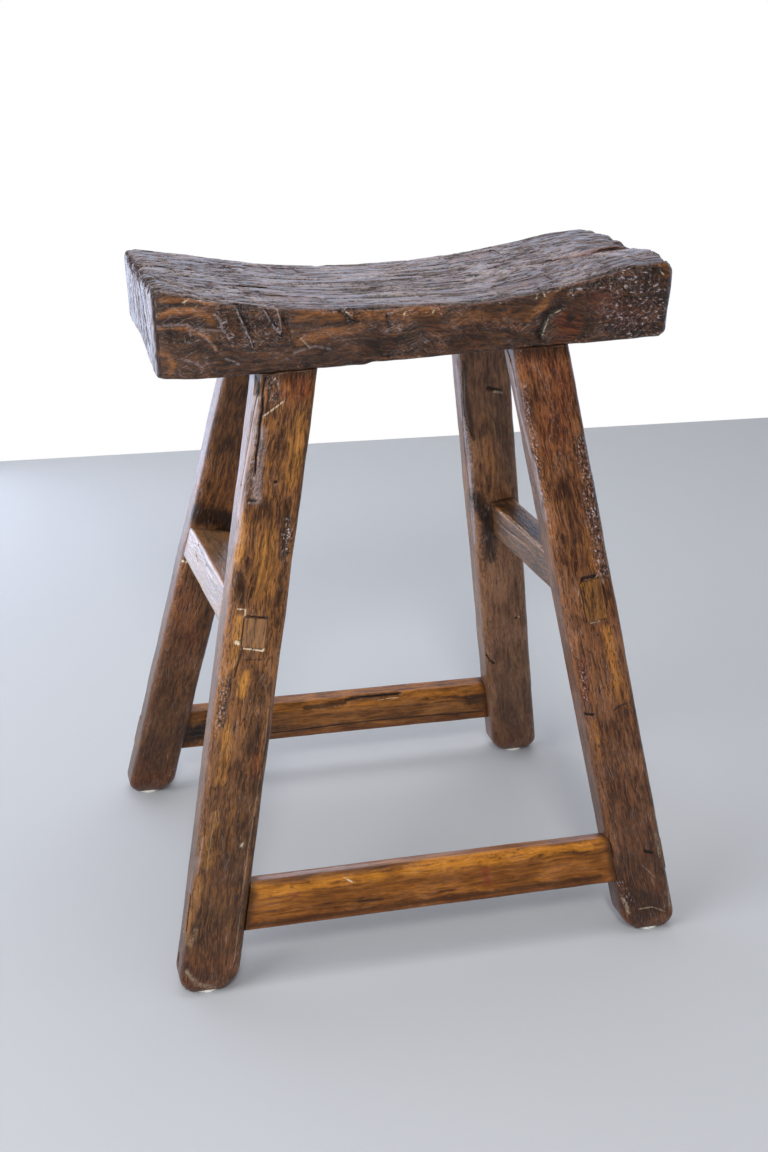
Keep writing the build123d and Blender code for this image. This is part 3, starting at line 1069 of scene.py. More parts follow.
@dataclass(frozen=True)
class Aging:
    """How rough a timber has become, in millimetres."""

    unevenness: float = 2.2
    uneven_size: float = 45.0
    groove_depth: float = 0.5
    groove_pitch: float = 2.6
    groove_length: float = 40.0
    seed: float = 1.0

    def apply(self, mesh: Mesh, tree: NodeTree, finish: Material) -> Mesh:
        """Ages a mesh.

        Args:
            mesh: The mesh, with its timber and weather layers.
            tree: The tree that weather_tree made.
            finish: The material that it gets.

        Returns:
            The aged mesh.
        """
        values = {
            "Unevenness": self.unevenness * MM,
            "Uneven Size": self.uneven_size * MM,
            "Groove Depth": self.groove_depth * MM,
            "Groove Pitch": self.groove_pitch * MM,
            "Groove Length": self.groove_length * MM,
            "Seed": self.seed,
            "Finish": finish,
        }
        return grow(mesh, tree, values)


@dataclass
class Workshop:
    """The node trees and finishes that the pieces share."""

    bar: NodeTree
    weather: NodeTree
    finishes: dict[str, Material]

    def piece(self, mesh: Mesh, name: str, node: str, slot: str) -> Object:
        """Makes a finished mesh a piece that stands for its CAD node.

        Args:
            mesh: The finished mesh.
            name: The piece's name.
            node: The CAD node that it replaces.
            slot: Not used.

        Returns:
            The piece.
        """
        mesh.name = name
        piece = put_in_scene(name, mesh)
        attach(piece, "root")
        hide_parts(node)
        LOG.info("%s: %d faces", name, len(mesh.polygons))
        return piece


@dataclass
class SaddleSeat:
    """The thick dished plank that the legs' tenons come up through."""

    length: float = 400.0
    depth: float = 171.0
    underside_height: float = 467.5
    underside_rise: float = 18.0
    underside_step: float = 1.3
    underside_step_at: tuple[float, float] = (-44.0, -36.0)
    left_thickness: float = 68.5
    right_thickness: float = 59.5
    dip: float = 22.0
    corner_radius: float = 8.0
    worn_corner_radius: float = 17.0
    edge_radius: float = 4.0
    bottom_radius: float = 3.0
    front_dips: tuple = (
        (-1, 0), (-0.7, 0.62), (-0.42, 0.93), (0, 1), (0.32, 0.98), (0.62, 0.52), (0.8, 0.14), (1, 0)
    )
    back_dips: tuple = (
        (-1, -0.1), (-0.74, 0.3), (-0.42, 0.78), (0, 0.93), (0.32, 0.78), (0.62, 0.42), (0.8, 0.13), (1, 0)
    )
    crack_points: tuple = ((117.0, -3.4), (156.0, -11.0), (200.0, -3.4))
    crack_opening: float = 6.5
    crack_start_width: float = 2.8
    crack_start_depth: float = 2.5
    crack_depth: float = 9.0
    crack_start_taper: tuple[float, float] = (-3.0, 12.0)
    crack_wobble: float = 0.8
    crack_wobble_size: float = 9.0
    crack_drop: float = 2.0
    crack_drop_reach: float = 50.0
    crack_drop_at: tuple[float, float] = (97.0, 175.0)
    crack_hump: float = 3.4
    crack_hump_middle: float = -48.0
    crack_hump_width: float = 24.0
    crack_hump_at: tuple[float, float] = (120.0, 195.0)
    crack_end_fall: float = 3.6
    crack_end_fall_at: tuple[float, float] = (176.0, 199.0)
    crack_end_fall_fade: tuple[float, float] = (5.0, 20.0)
    wane_front: float = 2.5
    wane_back: float = 15.0
    wane_reach: float = 17.0
    end_rounding: float = 2.4
    right_rounding: float = 3.8
    end_lean: float = 3.2
    left_bulge: float = 1.8
    right_lean: float = 2.0
    right_lean_at: tuple[float, float] = (170.0, 200.0)
    right_bulge: tuple = ((-85.5, 1.5), (-45.0, 5.0), (-5.0, 7.0), (60.0, 5.5), (85.5, 3.0))
    right_bulge_at: tuple[float, float] = (140.0, 200.0)
    edge_raggedness: float = 0.45
    edge_ragged_size: float = 9.0
    cells: tuple[int, int, int] = (250, 160, 46)
    bottom_rim: int = 8
    aging: Aging = Aging(
        unevenness=1.6, uneven_size=60.0, groove_depth=1.9, groove_pitch=3.0, groove_length=60.0, seed=4.0
    )
    weathered_end: float = 0.38
    weathered_side: float = 0.06
    right_calm: float = 0.45
    right_calm_at: tuple[float, float] = (120.0, 180.0)
    end_foreshortening: float = 0.86
    edge_wear: float = 0.8
    marks: tuple[Mark, ...] = ()

    def underside(self, x: np.ndarray, y: np.ndarray) -> np.ndarray:
        """Height of the underside, with the wane of the log's edge under the left end."""
        level = self.underside_height + self.underside_rise * (x / self.length + 0.5)
        back = smooth_step(0.05, 0.6, y / self.depth + 0.5)
        wane = self.wane_front + (self.wane_back - self.wane_front) * back
        reach = self.wane_reach * (2 - back)
        step = self.underside_step * (smooth_step(*self.underside_step_at, x) - 0.5)
        return level + wane * (1 - smooth_step(0, 1, (x + self.length / 2) / reach)) + step

    def top(self, x: np.ndarray, y: np.ndarray, crack: bool = True) -> np.ndarray:
        """Height of the dished top.

        Args:
            x: Places along the plank.
            y: Places across it.
            crack: Whether the drying crack is cut in.

        Returns:
            The heights.
        """
        share = x / self.length + 0.5
        left = self.underside_height + self.left_thickness
        right = self.underside_height + self.underside_rise + self.right_thickness
        along = x / (self.length / 2)
        back = np.clip(y / self.depth + 0.5, 0, 1)
        front_dip, back_dip = (curve_through(along, dips) for dips in (self.front_dips, self.back_dips))
        height = left + (right - left) * share - self.dip * ((1 - back) * front_dip + back * back_dip)
        if not crack:
            return height
        at, middle = zip(*self.crack_points)
        open_share = smooth_step(at[0], at[-1], x)
        half_width = (self.crack_start_width + self.crack_opening * open_share) / 2
        run = np.stack((x / self.crack_wobble_size, y * 0, y * 0), axis=1)
        wobble = self.crack_wobble * soft_noise(run, 5)
        ahead = np.interp(x, at, middle) + wobble - y
        inside = 1 - smooth_step(0.3, 1.0, np.abs(ahead) / half_width)
        taper = [at[0] + reach for reach in self.crack_start_taper]
        inside = inside * smooth_step(*taper, x)
        deep = self.crack_start_depth + (self.crack_depth - self.crack_start_depth) * open_share
        lowered = smooth_step(-0.5, 1.5, ahead) * (1 - np.clip(ahead / self.crack_drop_reach, 0, 1))
        lowered = lowered * smooth_step(*self.crack_drop_at, x)
        hump = np.exp(-((y - self.crack_hump_middle) / self.crack_hump_width) ** 2)
        hump = hump * smooth_step(*self.crack_hump_at, x)
        fallen = smooth_step(0, 3, -ahead) * (1 - smooth_step(*self.crack_end_fall_fade, -ahead))
        fallen = fallen * smooth_step(*self.crack_end_fall_at, x)
        height = height - deep * inside - self.crack_end_fall * fallen
        return height - self.crack_drop * lowered + self.crack_hump * hump

    def lattice(self) -> tuple[np.ndarray, list[list[int]]]:
        """Makes the skin of a box of cells, its underside one face inside a rim.

        Returns:
            The skin's points as shares of the box, and its faces.
        """
        index: dict[tuple[int, int, int], int] = {}
        faces: list[list[int]] = []
        nx, ny, nz = self.cells

        def corner(i: int, j: int, k: int) -> int:
            """Number of a lattice point, counted when it is first used."""
            return index.setdefault((i, j, k), len(index))

        def face(*corners: tuple[int, int, int]) -> None:
            """Adds a face by its lattice points."""
            faces.append([corner(*c) for c in corners])

        rim = self.bottom_rim
        for i, j in itertools.product(range(nx), range(ny)):
            face((i, j, nz), (i + 1, j, nz), (i + 1, j + 1, nz), (i, j + 1, nz))
            if not (rim <= i < nx - rim and rim <= j < ny - rim):
                face((i, j, 0), (i, j + 1, 0), (i + 1, j + 1, 0), (i + 1, j, 0))
        for i, k in itertools.product(range(nx), range(nz)):
            face((i, 0, k), (i + 1, 0, k), (i + 1, 0, k + 1), (i, 0, k + 1))
            face((i, ny, k), (i, ny, k + 1), (i + 1, ny, k + 1), (i + 1, ny, k))
        for j, k in itertools.product(range(ny), range(nz)):
            face((0, j, k), (0, j, k + 1), (0, j + 1, k + 1), (0, j + 1, k))
            face((nx, j, k), (nx, j + 1, k), (nx, j + 1, k + 1), (nx, j, k + 1))
        loop = [(rim, j, 0) for j in range(rim, ny - rim)]
        loop += [(i, ny - rim, 0) for i in range(rim, nx - rim)]
        loop += [(nx - rim, j, 0) for j in range(ny - rim, rim, -1)]
        loop += [(i, rim, 0) for i in range(nx - rim, rim, -1)]
        face(*loop)
        return np.array(list(index), dtype=float) / self.cells, faces

    def shape(self, shares: np.ndarray) -> tuple[np.ndarray, np.ndarray]:
        """Carries the lattice to the plank's real shape, with rounded corners and edges.

        Args:
            shares: The lattice's points as shares of the box.

        Returns:
            The places in millimetres, and how far each point lies on a rounded edge.
        """
        half = np.array((self.length / 2, self.depth / 2))
        flat = (shares[:, :2] * 2 - 1) * half
        worn = (flat[:, 0] > 0) & (flat[:, 1] > 0)
        radius = np.where(worn, self.worn_corner_radius, self.corner_radius)[:, None]
        core = np.clip(flat, radius - half, half - radius)
        out = flat - core
        reach = np.maximum(np.linalg.norm(out, axis=1), TINY)
        scale = np.where(np.all(np.abs(out) > 1e-6, axis=1), np.abs(out).max(axis=1) / reach, 1.0)
        out = out * scale[:, None]
        flat = core + out
        reach = np.linalg.norm(out, axis=1)
        outward = out / np.maximum(reach, TINY)[:, None]
        from_edge = (half - radius - np.abs(flat)).min(axis=1)
        inset = radius[:, 0] + np.where(reach > 1e-6, -reach, from_edge)
        low = self.underside(flat[:, 0], flat[:, 1])
        high = self.top(flat[:, 0], flat[:, 1])
        z = low + shares[:, 2] * (high - low)
        ragged = soft_noise(np.column_stack((flat / self.edge_ragged_size, shares[:, 2] * 2)), 3)
        ragged = 1 + self.edge_raggedness * ragged
        bend = np.zeros(len(z))
        endwise = smooth_step(0.1, 0.7, np.abs(outward[:, 0]))
        growth = np.where(flat[:, 0] > 0, self.right_rounding, self.end_rounding) - 1
        top_radius = self.edge_radius * (1 + growth * endwise)
        bottom_radius = self.bottom_radius * (1 + 0.8 * endwise * (flat[:, 0] > 0))
        for height, sign, edge in ((high, 1, top_radius), (low, -1, bottom_radius)):
            rounding = edge * ragged
            deep = sign * (height - z)
            near = (inset < rounding) & (deep < rounding)
            u = np.where(near, inset - rounding, -1.0)
            v = np.where(near, deep - rounding, 0.0)
            fit = np.maximum(np.abs(u), np.abs(v)) / np.maximum(np.hypot(u, v), TINY)
            shift = np.where(near, u * (fit - 1), 0.0)
            flat = flat - outward * shift[:, None]
            z = np.where(near, height - sign * (rounding + v * fit), z)
            bend = np.maximum(bend, np.where(near, 1.0, 0.0))
        outermost = smooth_step(-self.length / 2 + 14, -self.length / 2, flat[:, 0])
        back = smooth_step(-85, 60, flat[:, 1])
        flat[:, 0] -= outermost * (self.end_lean * (shares[:, 2] - 0.25) + self.left_bulge * back)
        lean = smooth_step(*self.right_lean_at, flat[:, 0]) * smooth_step(0.2, 0.7, shares[:, 2])
        bulge = curve_through(flat[:, 1], self.right_bulge) * smooth_step(*self.right_bulge_at, flat[:, 0])
        flat[:, 0] += bulge + self.right_lean * lean
        return np.column_stack((flat, z)), bend

    def build(self, shop: Workshop, tenons: list[Mesh]) -> Object:
        """Builds the seat.

        Args:
            shop: The shared trees and finishes.
            tenons: The legs' tenons with their clearance, to be cut out of the plank.

        Returns:
            The piece.
        """
        shares, faces = self.lattice()
        places, bend = self.shape(shares)
        mesh = bpy.data.meshes.new("seat_plank")
        mesh.from_pydata((places * MM).tolist(), [], faces)
        mesh.update()
        normals = vertex_normals(mesh)
        up = smooth_step(0.35, 0.8, normals[:, 2])
        left = smooth_step(0.5, 0.9, -normals[:, 0])
        timber = places[:, (1, 2, 0)] * MM
        timber[:, 1] *= 1 - self.end_foreshortening * left
        write_layer(mesh, "timber", timber)
        calm = 1 - self.right_calm * smooth_step(*self.right_calm_at, places[:, 0])
        weather = np.maximum(up * calm, left * self.weathered_end)
        write_layer(mesh, "weather", np.maximum(weather, self.weathered_side))
        patchy = smooth_step(-0.2, 0.6, soft_noise(places / (16, 16, 7), 8))
        rounded = smooth_step(0.2, 1.0, bend) * (1 - up) * (1 - left)
        write_layer(mesh, "worn", rounded * patchy * self.edge_wear)
        mesh = self.aging.apply(mesh, shop.weather, shop.finishes["seat"])
        apply_marks(mesh, self.marks)
        mesh = cut(mesh, tenons)
        return shop.piece(mesh, "seat_plank", "seat", "seat_elm")


@dataclass
class SplayedLeg:
    """A leg that leans both ways, with its tenon through the seat."""

    corner: Corner
    head: tuple[float, float]
    foot: tuple[float, float]
    width: float
    seat: SaddleSeat
    depth: float = 32.0
    arris: float = 7.0
    foot_level: float = 3.0
    toe_height: float = 15.0
    toe_scale: tuple[float, float] = (0.62, 0.7)
    tenon_thickness: float = 18.0
    tenon_shoulder: float = 1.0
    tenon_root: float = 12.0
    tenon_inset: float = 0.0
    tenon_below: float = 0.4
    tenon_arris: float = 0.8
    tenon_weathered: float = 0.7
    tenon_aging: Aging = Aging(
        unevenness=0.3, uneven_size=20.0, groove_depth=0.3, groove_pitch=2.0, groove_length=20.0
    )
    clearance: float = 0.45
    seat_overlap: float = 0.4
    weathered: float = 0.08
    edge_wear: float = 0.55
    toe_wear: float = 0.25
    toe_red: float = 0.5
    # Darker towards the foot, in part painted shade, and at the joint under the seat, grime with painted
    # shade
    low_darkening: float = 0.48
    joint_grime_and_shade: float = 0.75
    aging: Aging = Aging()
    marks: tuple[Mark, ...] = ()

    @property
    def top_point(self) -> Vector:
        """Middle of the leg where it meets the underside."""
        x, y = self.head
        level = self.seat.underside_height + self.seat.underside_rise * (x / self.seat.length + 0.5)
        return Vector((x, y, level))

    @property
    def foot_point(self) -> Vector:
        """Middle of the leg at the floor."""
        return Vector((*self.foot, 0.0))

    @property
    def direction(self) -> Vector:
        """The way the leg runs, upwards."""
        return (self.top_point - self.foot_point).normalized()

    def point(self, level: float) -> Vector:
        """Middle of the leg at a height above the floor."""
        return self.foot_point + (self.top_point - self.foot_point) * (level / self.top_point.z)

    def tenon(self, growth: float) -> Bar:
        """The tenon's bar, made larger by a growth on each side."""
        inward = -1 if self.head[1] > 0 else 1
        shift = Vector((0, inward * self.tenon_inset, 0))
        return Bar(
            start=self.point(self.top_point.z - self.tenon_root) + shift,
            end=self.point(self.top_point.z + self.seat.left_thickness + self.tenon_root * growth) + shift,
            width=self.width - 2 * self.tenon_shoulder + 2 * growth,
            depth=self.tenon_thickness + 2 * growth,
            arris=self.tenon_arris,
        )

    def build(self, shop: Workshop, mortises: list[Bar]) -> Object:
        """Builds the leg.

        Args:
            shop: The shared trees and finishes.
            mortises: The tenons with their clearance that pass through the leg.

        Returns:
            The piece.
        """
        bar = Bar(
            start=self.point(self.foot_level),
            end=self.point(self.top_point.z + self.tenon_shoulder * 3),
            width=self.width,
            depth=self.depth,
            arris=self.arris,
            toe_height=self.toe_height,
            toe_scale=self.toe_scale,
        )
        body = bar.mesh(shop.bar)
        self.wear(body)
        finish = shop.finishes[self.corner.value]
        body = self.aging.apply(body, shop.weather, finish)
        places = vertex_places(body)
        ceiling = self.seat.underside(places[:, 0], places[:, 1]) + self.seat_overlap
        places[:, 2] = np.clip(places[:, 2], self.foot_level, ceiling)
        move_vertices(body, places)
        apply_marks(body, self.marks)
        body = cut(body, [mortise.mesh(shop.bar) for mortise in mortises])
        tenon = self.tenon(0.0).mesh(shop.bar)
        places = vertex_places(tenon)
        ceiling = self.seat.top(places[:, 0], places[:, 1], crack=False) - self.tenon_below
        places[:, 2] = np.minimum(places[:, 2], ceiling)
        move_vertices(tenon, places)
        write_layer(tenon, "weather", np.full(len(places), self.tenon_weathered))
        tenon = self.tenon_aging.apply(tenon, shop.weather, finish)
        plain_layers(tenon)
        name = self.corner.value
        return shop.piece(join([body, tenon]), f"leg_bar_{name}", f"leg_{name}", "leg_elm")

    def wear(self, mesh: Mesh) -> None:
        """Wears the leg's arrises and toe in patches, and darkens it at its joint, with grime and painted
        shade, and towards its foot, in part with painted shade.

        Args:
            mesh: The bar's mesh with its timber layer.
        """
        timber = read_layer(mesh, "timber") / MM
        side = self.width / 2 - np.abs(timber[:, 0])
        end = self.depth / 2 - np.abs(timber[:, 1])
        arris = 1 - smooth_step(0.4, 1.1, np.hypot(side, end) / self.arris)
        patchy = smooth_step(-0.3, 0.7, soft_noise(timber / (14, 14, 45), int(self.aging.seed)))
        toe = 1 - smooth_step(0.5, 2.2, timber[:, 2] / self.toe_height)
        worn = arris * patchy * self.edge_wear + toe * patchy * self.toe_wear
        write_layer(mesh, "worn", np.clip(worn, 0, 1))
        write_layer(mesh, "weather", np.full(len(timber), self.weathered))
        write_layer(mesh, "red", (1 - smooth_step(6, 60, timber[:, 2])) * self.toe_red)
        high = (self.top_point - self.point(self.foot_level)).length
        # Darker towards the foot, in part painted shade, and under the seat at the joint, grime with
        # painted shade
        low = (1 - smooth_step(20, 330, timber[:, 2])) * self.low_darkening
        joint = (1 - smooth_step(0, 14, high - timber[:, 2])) * self.joint_grime_and_shade
        write_layer(mesh, "dark", np.maximum(joint, low))


@dataclass(kw_only=True)
class Stretcher:
    """A bar between two legs, with one tenon that goes through both."""

    name: str
    near: SplayedLeg
    far: SplayedLeg
    level: float
    fall: float
    height: float
    clearance: float = 0.35
    overlap: float = 0.2
    weathered: float = 0.1
    tenon_arris: float = 0.6
    tenon_weathered: float = 0.05
    # How far a cutter made from the tenon runs on, for each millimetre of its growth
    tenon_run: float = 20.0
    tenon_amber: float = 0.0
    tenon_grime: float = 0.0
    tenon_aging: Aging = Aging(
        unevenness=0.25, uneven_size=12.0, groove_depth=0.2, groove_pitch=2.0, groove_length=20.0
    )
    # Stretches the pattern on the tenon's ends, which show end grain
    end_grain: tuple[float, float, float] = (0.8, 0.12, 1.0)
    aging: Aging = Aging()
    marks: tuple[Mark, ...] = ()

    def line(self, shift: Vector) -> tuple[Vector, Vector, Ends]:
        """A line from one leg to the other, beside their middles.

        Args:
            shift: How far it lies beside them.

        Returns:
            Its start, its end, and how the legs lean across it at both, as the section's slope.
        """
        start = self.near.point(self.level) + shift
        end = self.far.point(self.level - self.fall) + shift
        axis = (end - start).normalized()
        leans = []
        for leg in (self.near, self.far):
            upright = leg.direction - axis * leg.direction.dot(axis)
            leans.append(leg.direction / upright.length)
        return start, end, (leans[0], leans[1])

    def finish(self, body: Mesh, tenon: Bar, shop: Workshop) -> Object:
        """Ages and marks the body and joins it with its tenon.

        Args:
            body: The body's mesh, with its layers.
            tenon: The through tenon's bar.
            shop: The shared trees and finishes.

        Returns:
            The piece.
        """
        finish = shop.finishes[self.name]
        body = self.aging.apply(body, shop.weather, finish)
        apply_marks(body, self.marks)
        through = tenon.mesh(shop.bar)
        write_layer(through, "timber", read_layer(through, "timber") * self.end_grain)
        plain = {"weather": self.tenon_weathered, "amber": self.tenon_amber, "dark": self.tenon_grime}
        for layer, value in plain.items():
            write_layer(through, layer, np.full(len(through.vertices), value))
        through = self.tenon_aging.apply(through, shop.weather, finish)
        plain_layers(through)
        return shop.piece(join([body, through]), f"{self.name}_bar", self.name, "stretcher_elm")


@dataclass(kw_only=True)
class LongStretcher(Stretcher):
    """A low bar between the two front legs or the two back legs."""

    bevel: tuple[float, float]
    thickness: float = 18.5
    outward_set: float = 5.5
    tenon_shoulder: float = 5.0
    tenon_thickness: float = 11.0
    tenon_amber: float = 0.1
    tenon_grime: float = 0.45
    arris: float = 2.5
    bevel_glow: float = 1.0
    bevel_wear: float = 0.6
    low_red: float = 0.35
    # Darker in patches towards the lower edge, and at the joints with grime and painted shade
    low_darkening: float = 0.3
    joint_grime_and_shade: float = 0.8
    aging: Aging = Aging(unevenness=1.2, uneven_size=38.0, groove_depth=0.4, seed=11.0)

    def frames(self) -> tuple[Vector, Vector, Ends, Ends]:
        """Middle line inside the two legs, with the section's directions at both ends."""
        outward = 1 if self.near.head[1] > 0 else -1
        start, end, heights = self.line(Vector((0, outward * self.outward_set, 0)))
        axis = (end - start).normalized()
        front = axis.cross(self.near.direction).normalized()
        return start, end, heights, (front, front)

    def tenon(self, growth: float) -> Bar:
        """The through tenon as one bar past both legs, made larger by a growth on each side."""
        start, end, side, across = self.frames()
        axis = (end - start).normalized()
        reach = self.near.width / 2 + self.tenon_run * growth
        return Bar(
            start=start - axis * reach,
            end=end + axis * reach,
            width=self.height - 2 * self.tenon_shoulder + 2 * growth,
            depth=self.tenon_thickness + 2 * growth,
            side=side,
            across=across,
            arris=self.tenon_arris,
            step=2.5,
        )

    def build(self, shop: Workshop) -> Object:
        """Builds the stretcher.

        Args:
            shop: The shared trees and finishes.

        Returns:
            The piece.
        """
        start, end, side, across = self.frames()
        axis = (end - start).normalized()
        bar = Bar(
            start=start + axis * (self.near.width / 2 - self.overlap),
            end=end - axis * (self.far.width / 2 - self.overlap),
            width=self.height,
            depth=self.thickness,
            side=side,
            across=across,
            arris=self.arris,
            bevel=self.bevel,
        )
        body = bar.mesh(shop.bar)
        timber = read_layer(body, "timber") / MM
        length = (bar.end - bar.start).length
        joint = 1 - smooth_step(0, 7, np.minimum(timber[:, 2], length - timber[:, 2]))
        edge = np.hypot(self.height / 2 - timber[:, 0], self.thickness / 2 - timber[:, 1])
        patchy = smooth_step(-0.6, 0.5, soft_noise(timber / (6, 6, 30), int(self.aging.seed)))
        glow = patchy * self.bevel_glow
        low = smooth_step(0.2, 0.5, -timber[:, 0] / self.height)
        write_layer(body, "amber", (1 - smooth_step(4, 11, edge)) * glow)
        write_layer(body, "worn", (1 - smooth_step(3, 6, edge)) * glow * self.bevel_wear)
        write_layer(body, "red", low * self.low_red)
        # Darker at the joints, with grime and painted shade, and in patches towards the lower edge
        write_layer(body, "dark", np.maximum(joint * self.joint_grime_and_shade, low * patchy * self.low_darkening))
        write_layer(body, "weather", np.full(len(timber), self.weathered))
        return self.finish(body, self.tenon(0.0), shop)


@dataclass(kw_only=True)
class ShortStretcher(Stretcher):
    """A higher bar between a front leg and the back leg behind it."""

    width: float
    taper: float
    body_set: float
    tenon_width: float
    tenon_height: float
    tenon_set: float
    tenon_proud: float = 0.5
    tenon_amber: float = 0.5
    weathered: float = 0.15
    arris: float = 2.0
    edge_wear: float = 0.7
    # Darker at the joints: grime and painted shade
    joint_grime_and_shade: float = 0.8
    aging: Aging = Aging(unevenness=1.0, uneven_size=30.0, groove_depth=0.4, seed=21.0)

    def frames(self, outward_set: float) -> tuple[Vector, Vector, Ends, Ends]:
        """A line parallel to the stretcher, with the section's directions at both ends.

        Args:
            outward_set: How far the line lies outwards from the legs' middles.

        Returns:
            Its start and end inside the legs, the sideways and the upward directions.
        """
        outward = 1 if self.near.head[0] > 0 else -1
        start, end, ups = self.line(Vector((outward * outward_set, 0, 0)))
        axis = (end - start).normalized()
        sideways = self.near.direction.cross(axis).normalized()
        return start, end, (sideways, sideways), ups

    def tenon(self, growth: float) -> Bar:
        """The through tenon as one bar past both legs, made larger by a growth on each side."""
        start, end, side, across = self.frames(self.tenon_set)
        axis = (end - start).normalized()
        reach = self.near.depth / 2 + self.tenon_proud + self.tenon_run * growth
        return Bar(
            start=start - axis * reach,
            end=end + axis * reach,
            width=self.tenon_width + 2 * growth,
            depth=self.tenon_height + 2 * growth,
            side=side,
            across=across,
            arris=self.tenon_arris,
            step=1.6,
        )

    def build(self, shop: Workshop) -> Object:
        """Builds the stretcher.

        Args:
            shop: The shared trees and finishes.

        Returns:
            The piece.
        """
        start, end, side, across = self.frames(self.body_set)
        axis = (end - start).normalized()
        bar = Bar(
            start=start + axis * (self.near.depth / 2 - self.overlap),
            end=end - axis * (self.far.depth / 2 - self.overlap),
            width=self.width * self.taper,
            depth=self.height,
            side=side,
            across=across,
            arris=self.arris,
            taper=1 / self.taper,
        )
        body = bar.mesh(shop.bar)
        timber = read_layer(body, "timber") / MM
        length = (bar.end - bar.start).length
        joint = 1 - smooth_step(0, 9, np.minimum(timber[:, 2], length - timber[:, 2]))
        edge = np.hypot(self.width * self.taper / 2 - np.abs(timber[:, 0]), self.height / 2 - timber[:, 1])
        write_layer(body, "worn", (1 - smooth_step(1.5, 5, edge)) * self.edge_wear)
        # Darker at the joints, with grime and painted shade
        write_layer(body, "dark", joint * self.joint_grime_and_shade)
        write_layer(body, "weather", np.full(len(timber), self.weathered))
        return self.finish(body, self.tenon(0.0), shop)


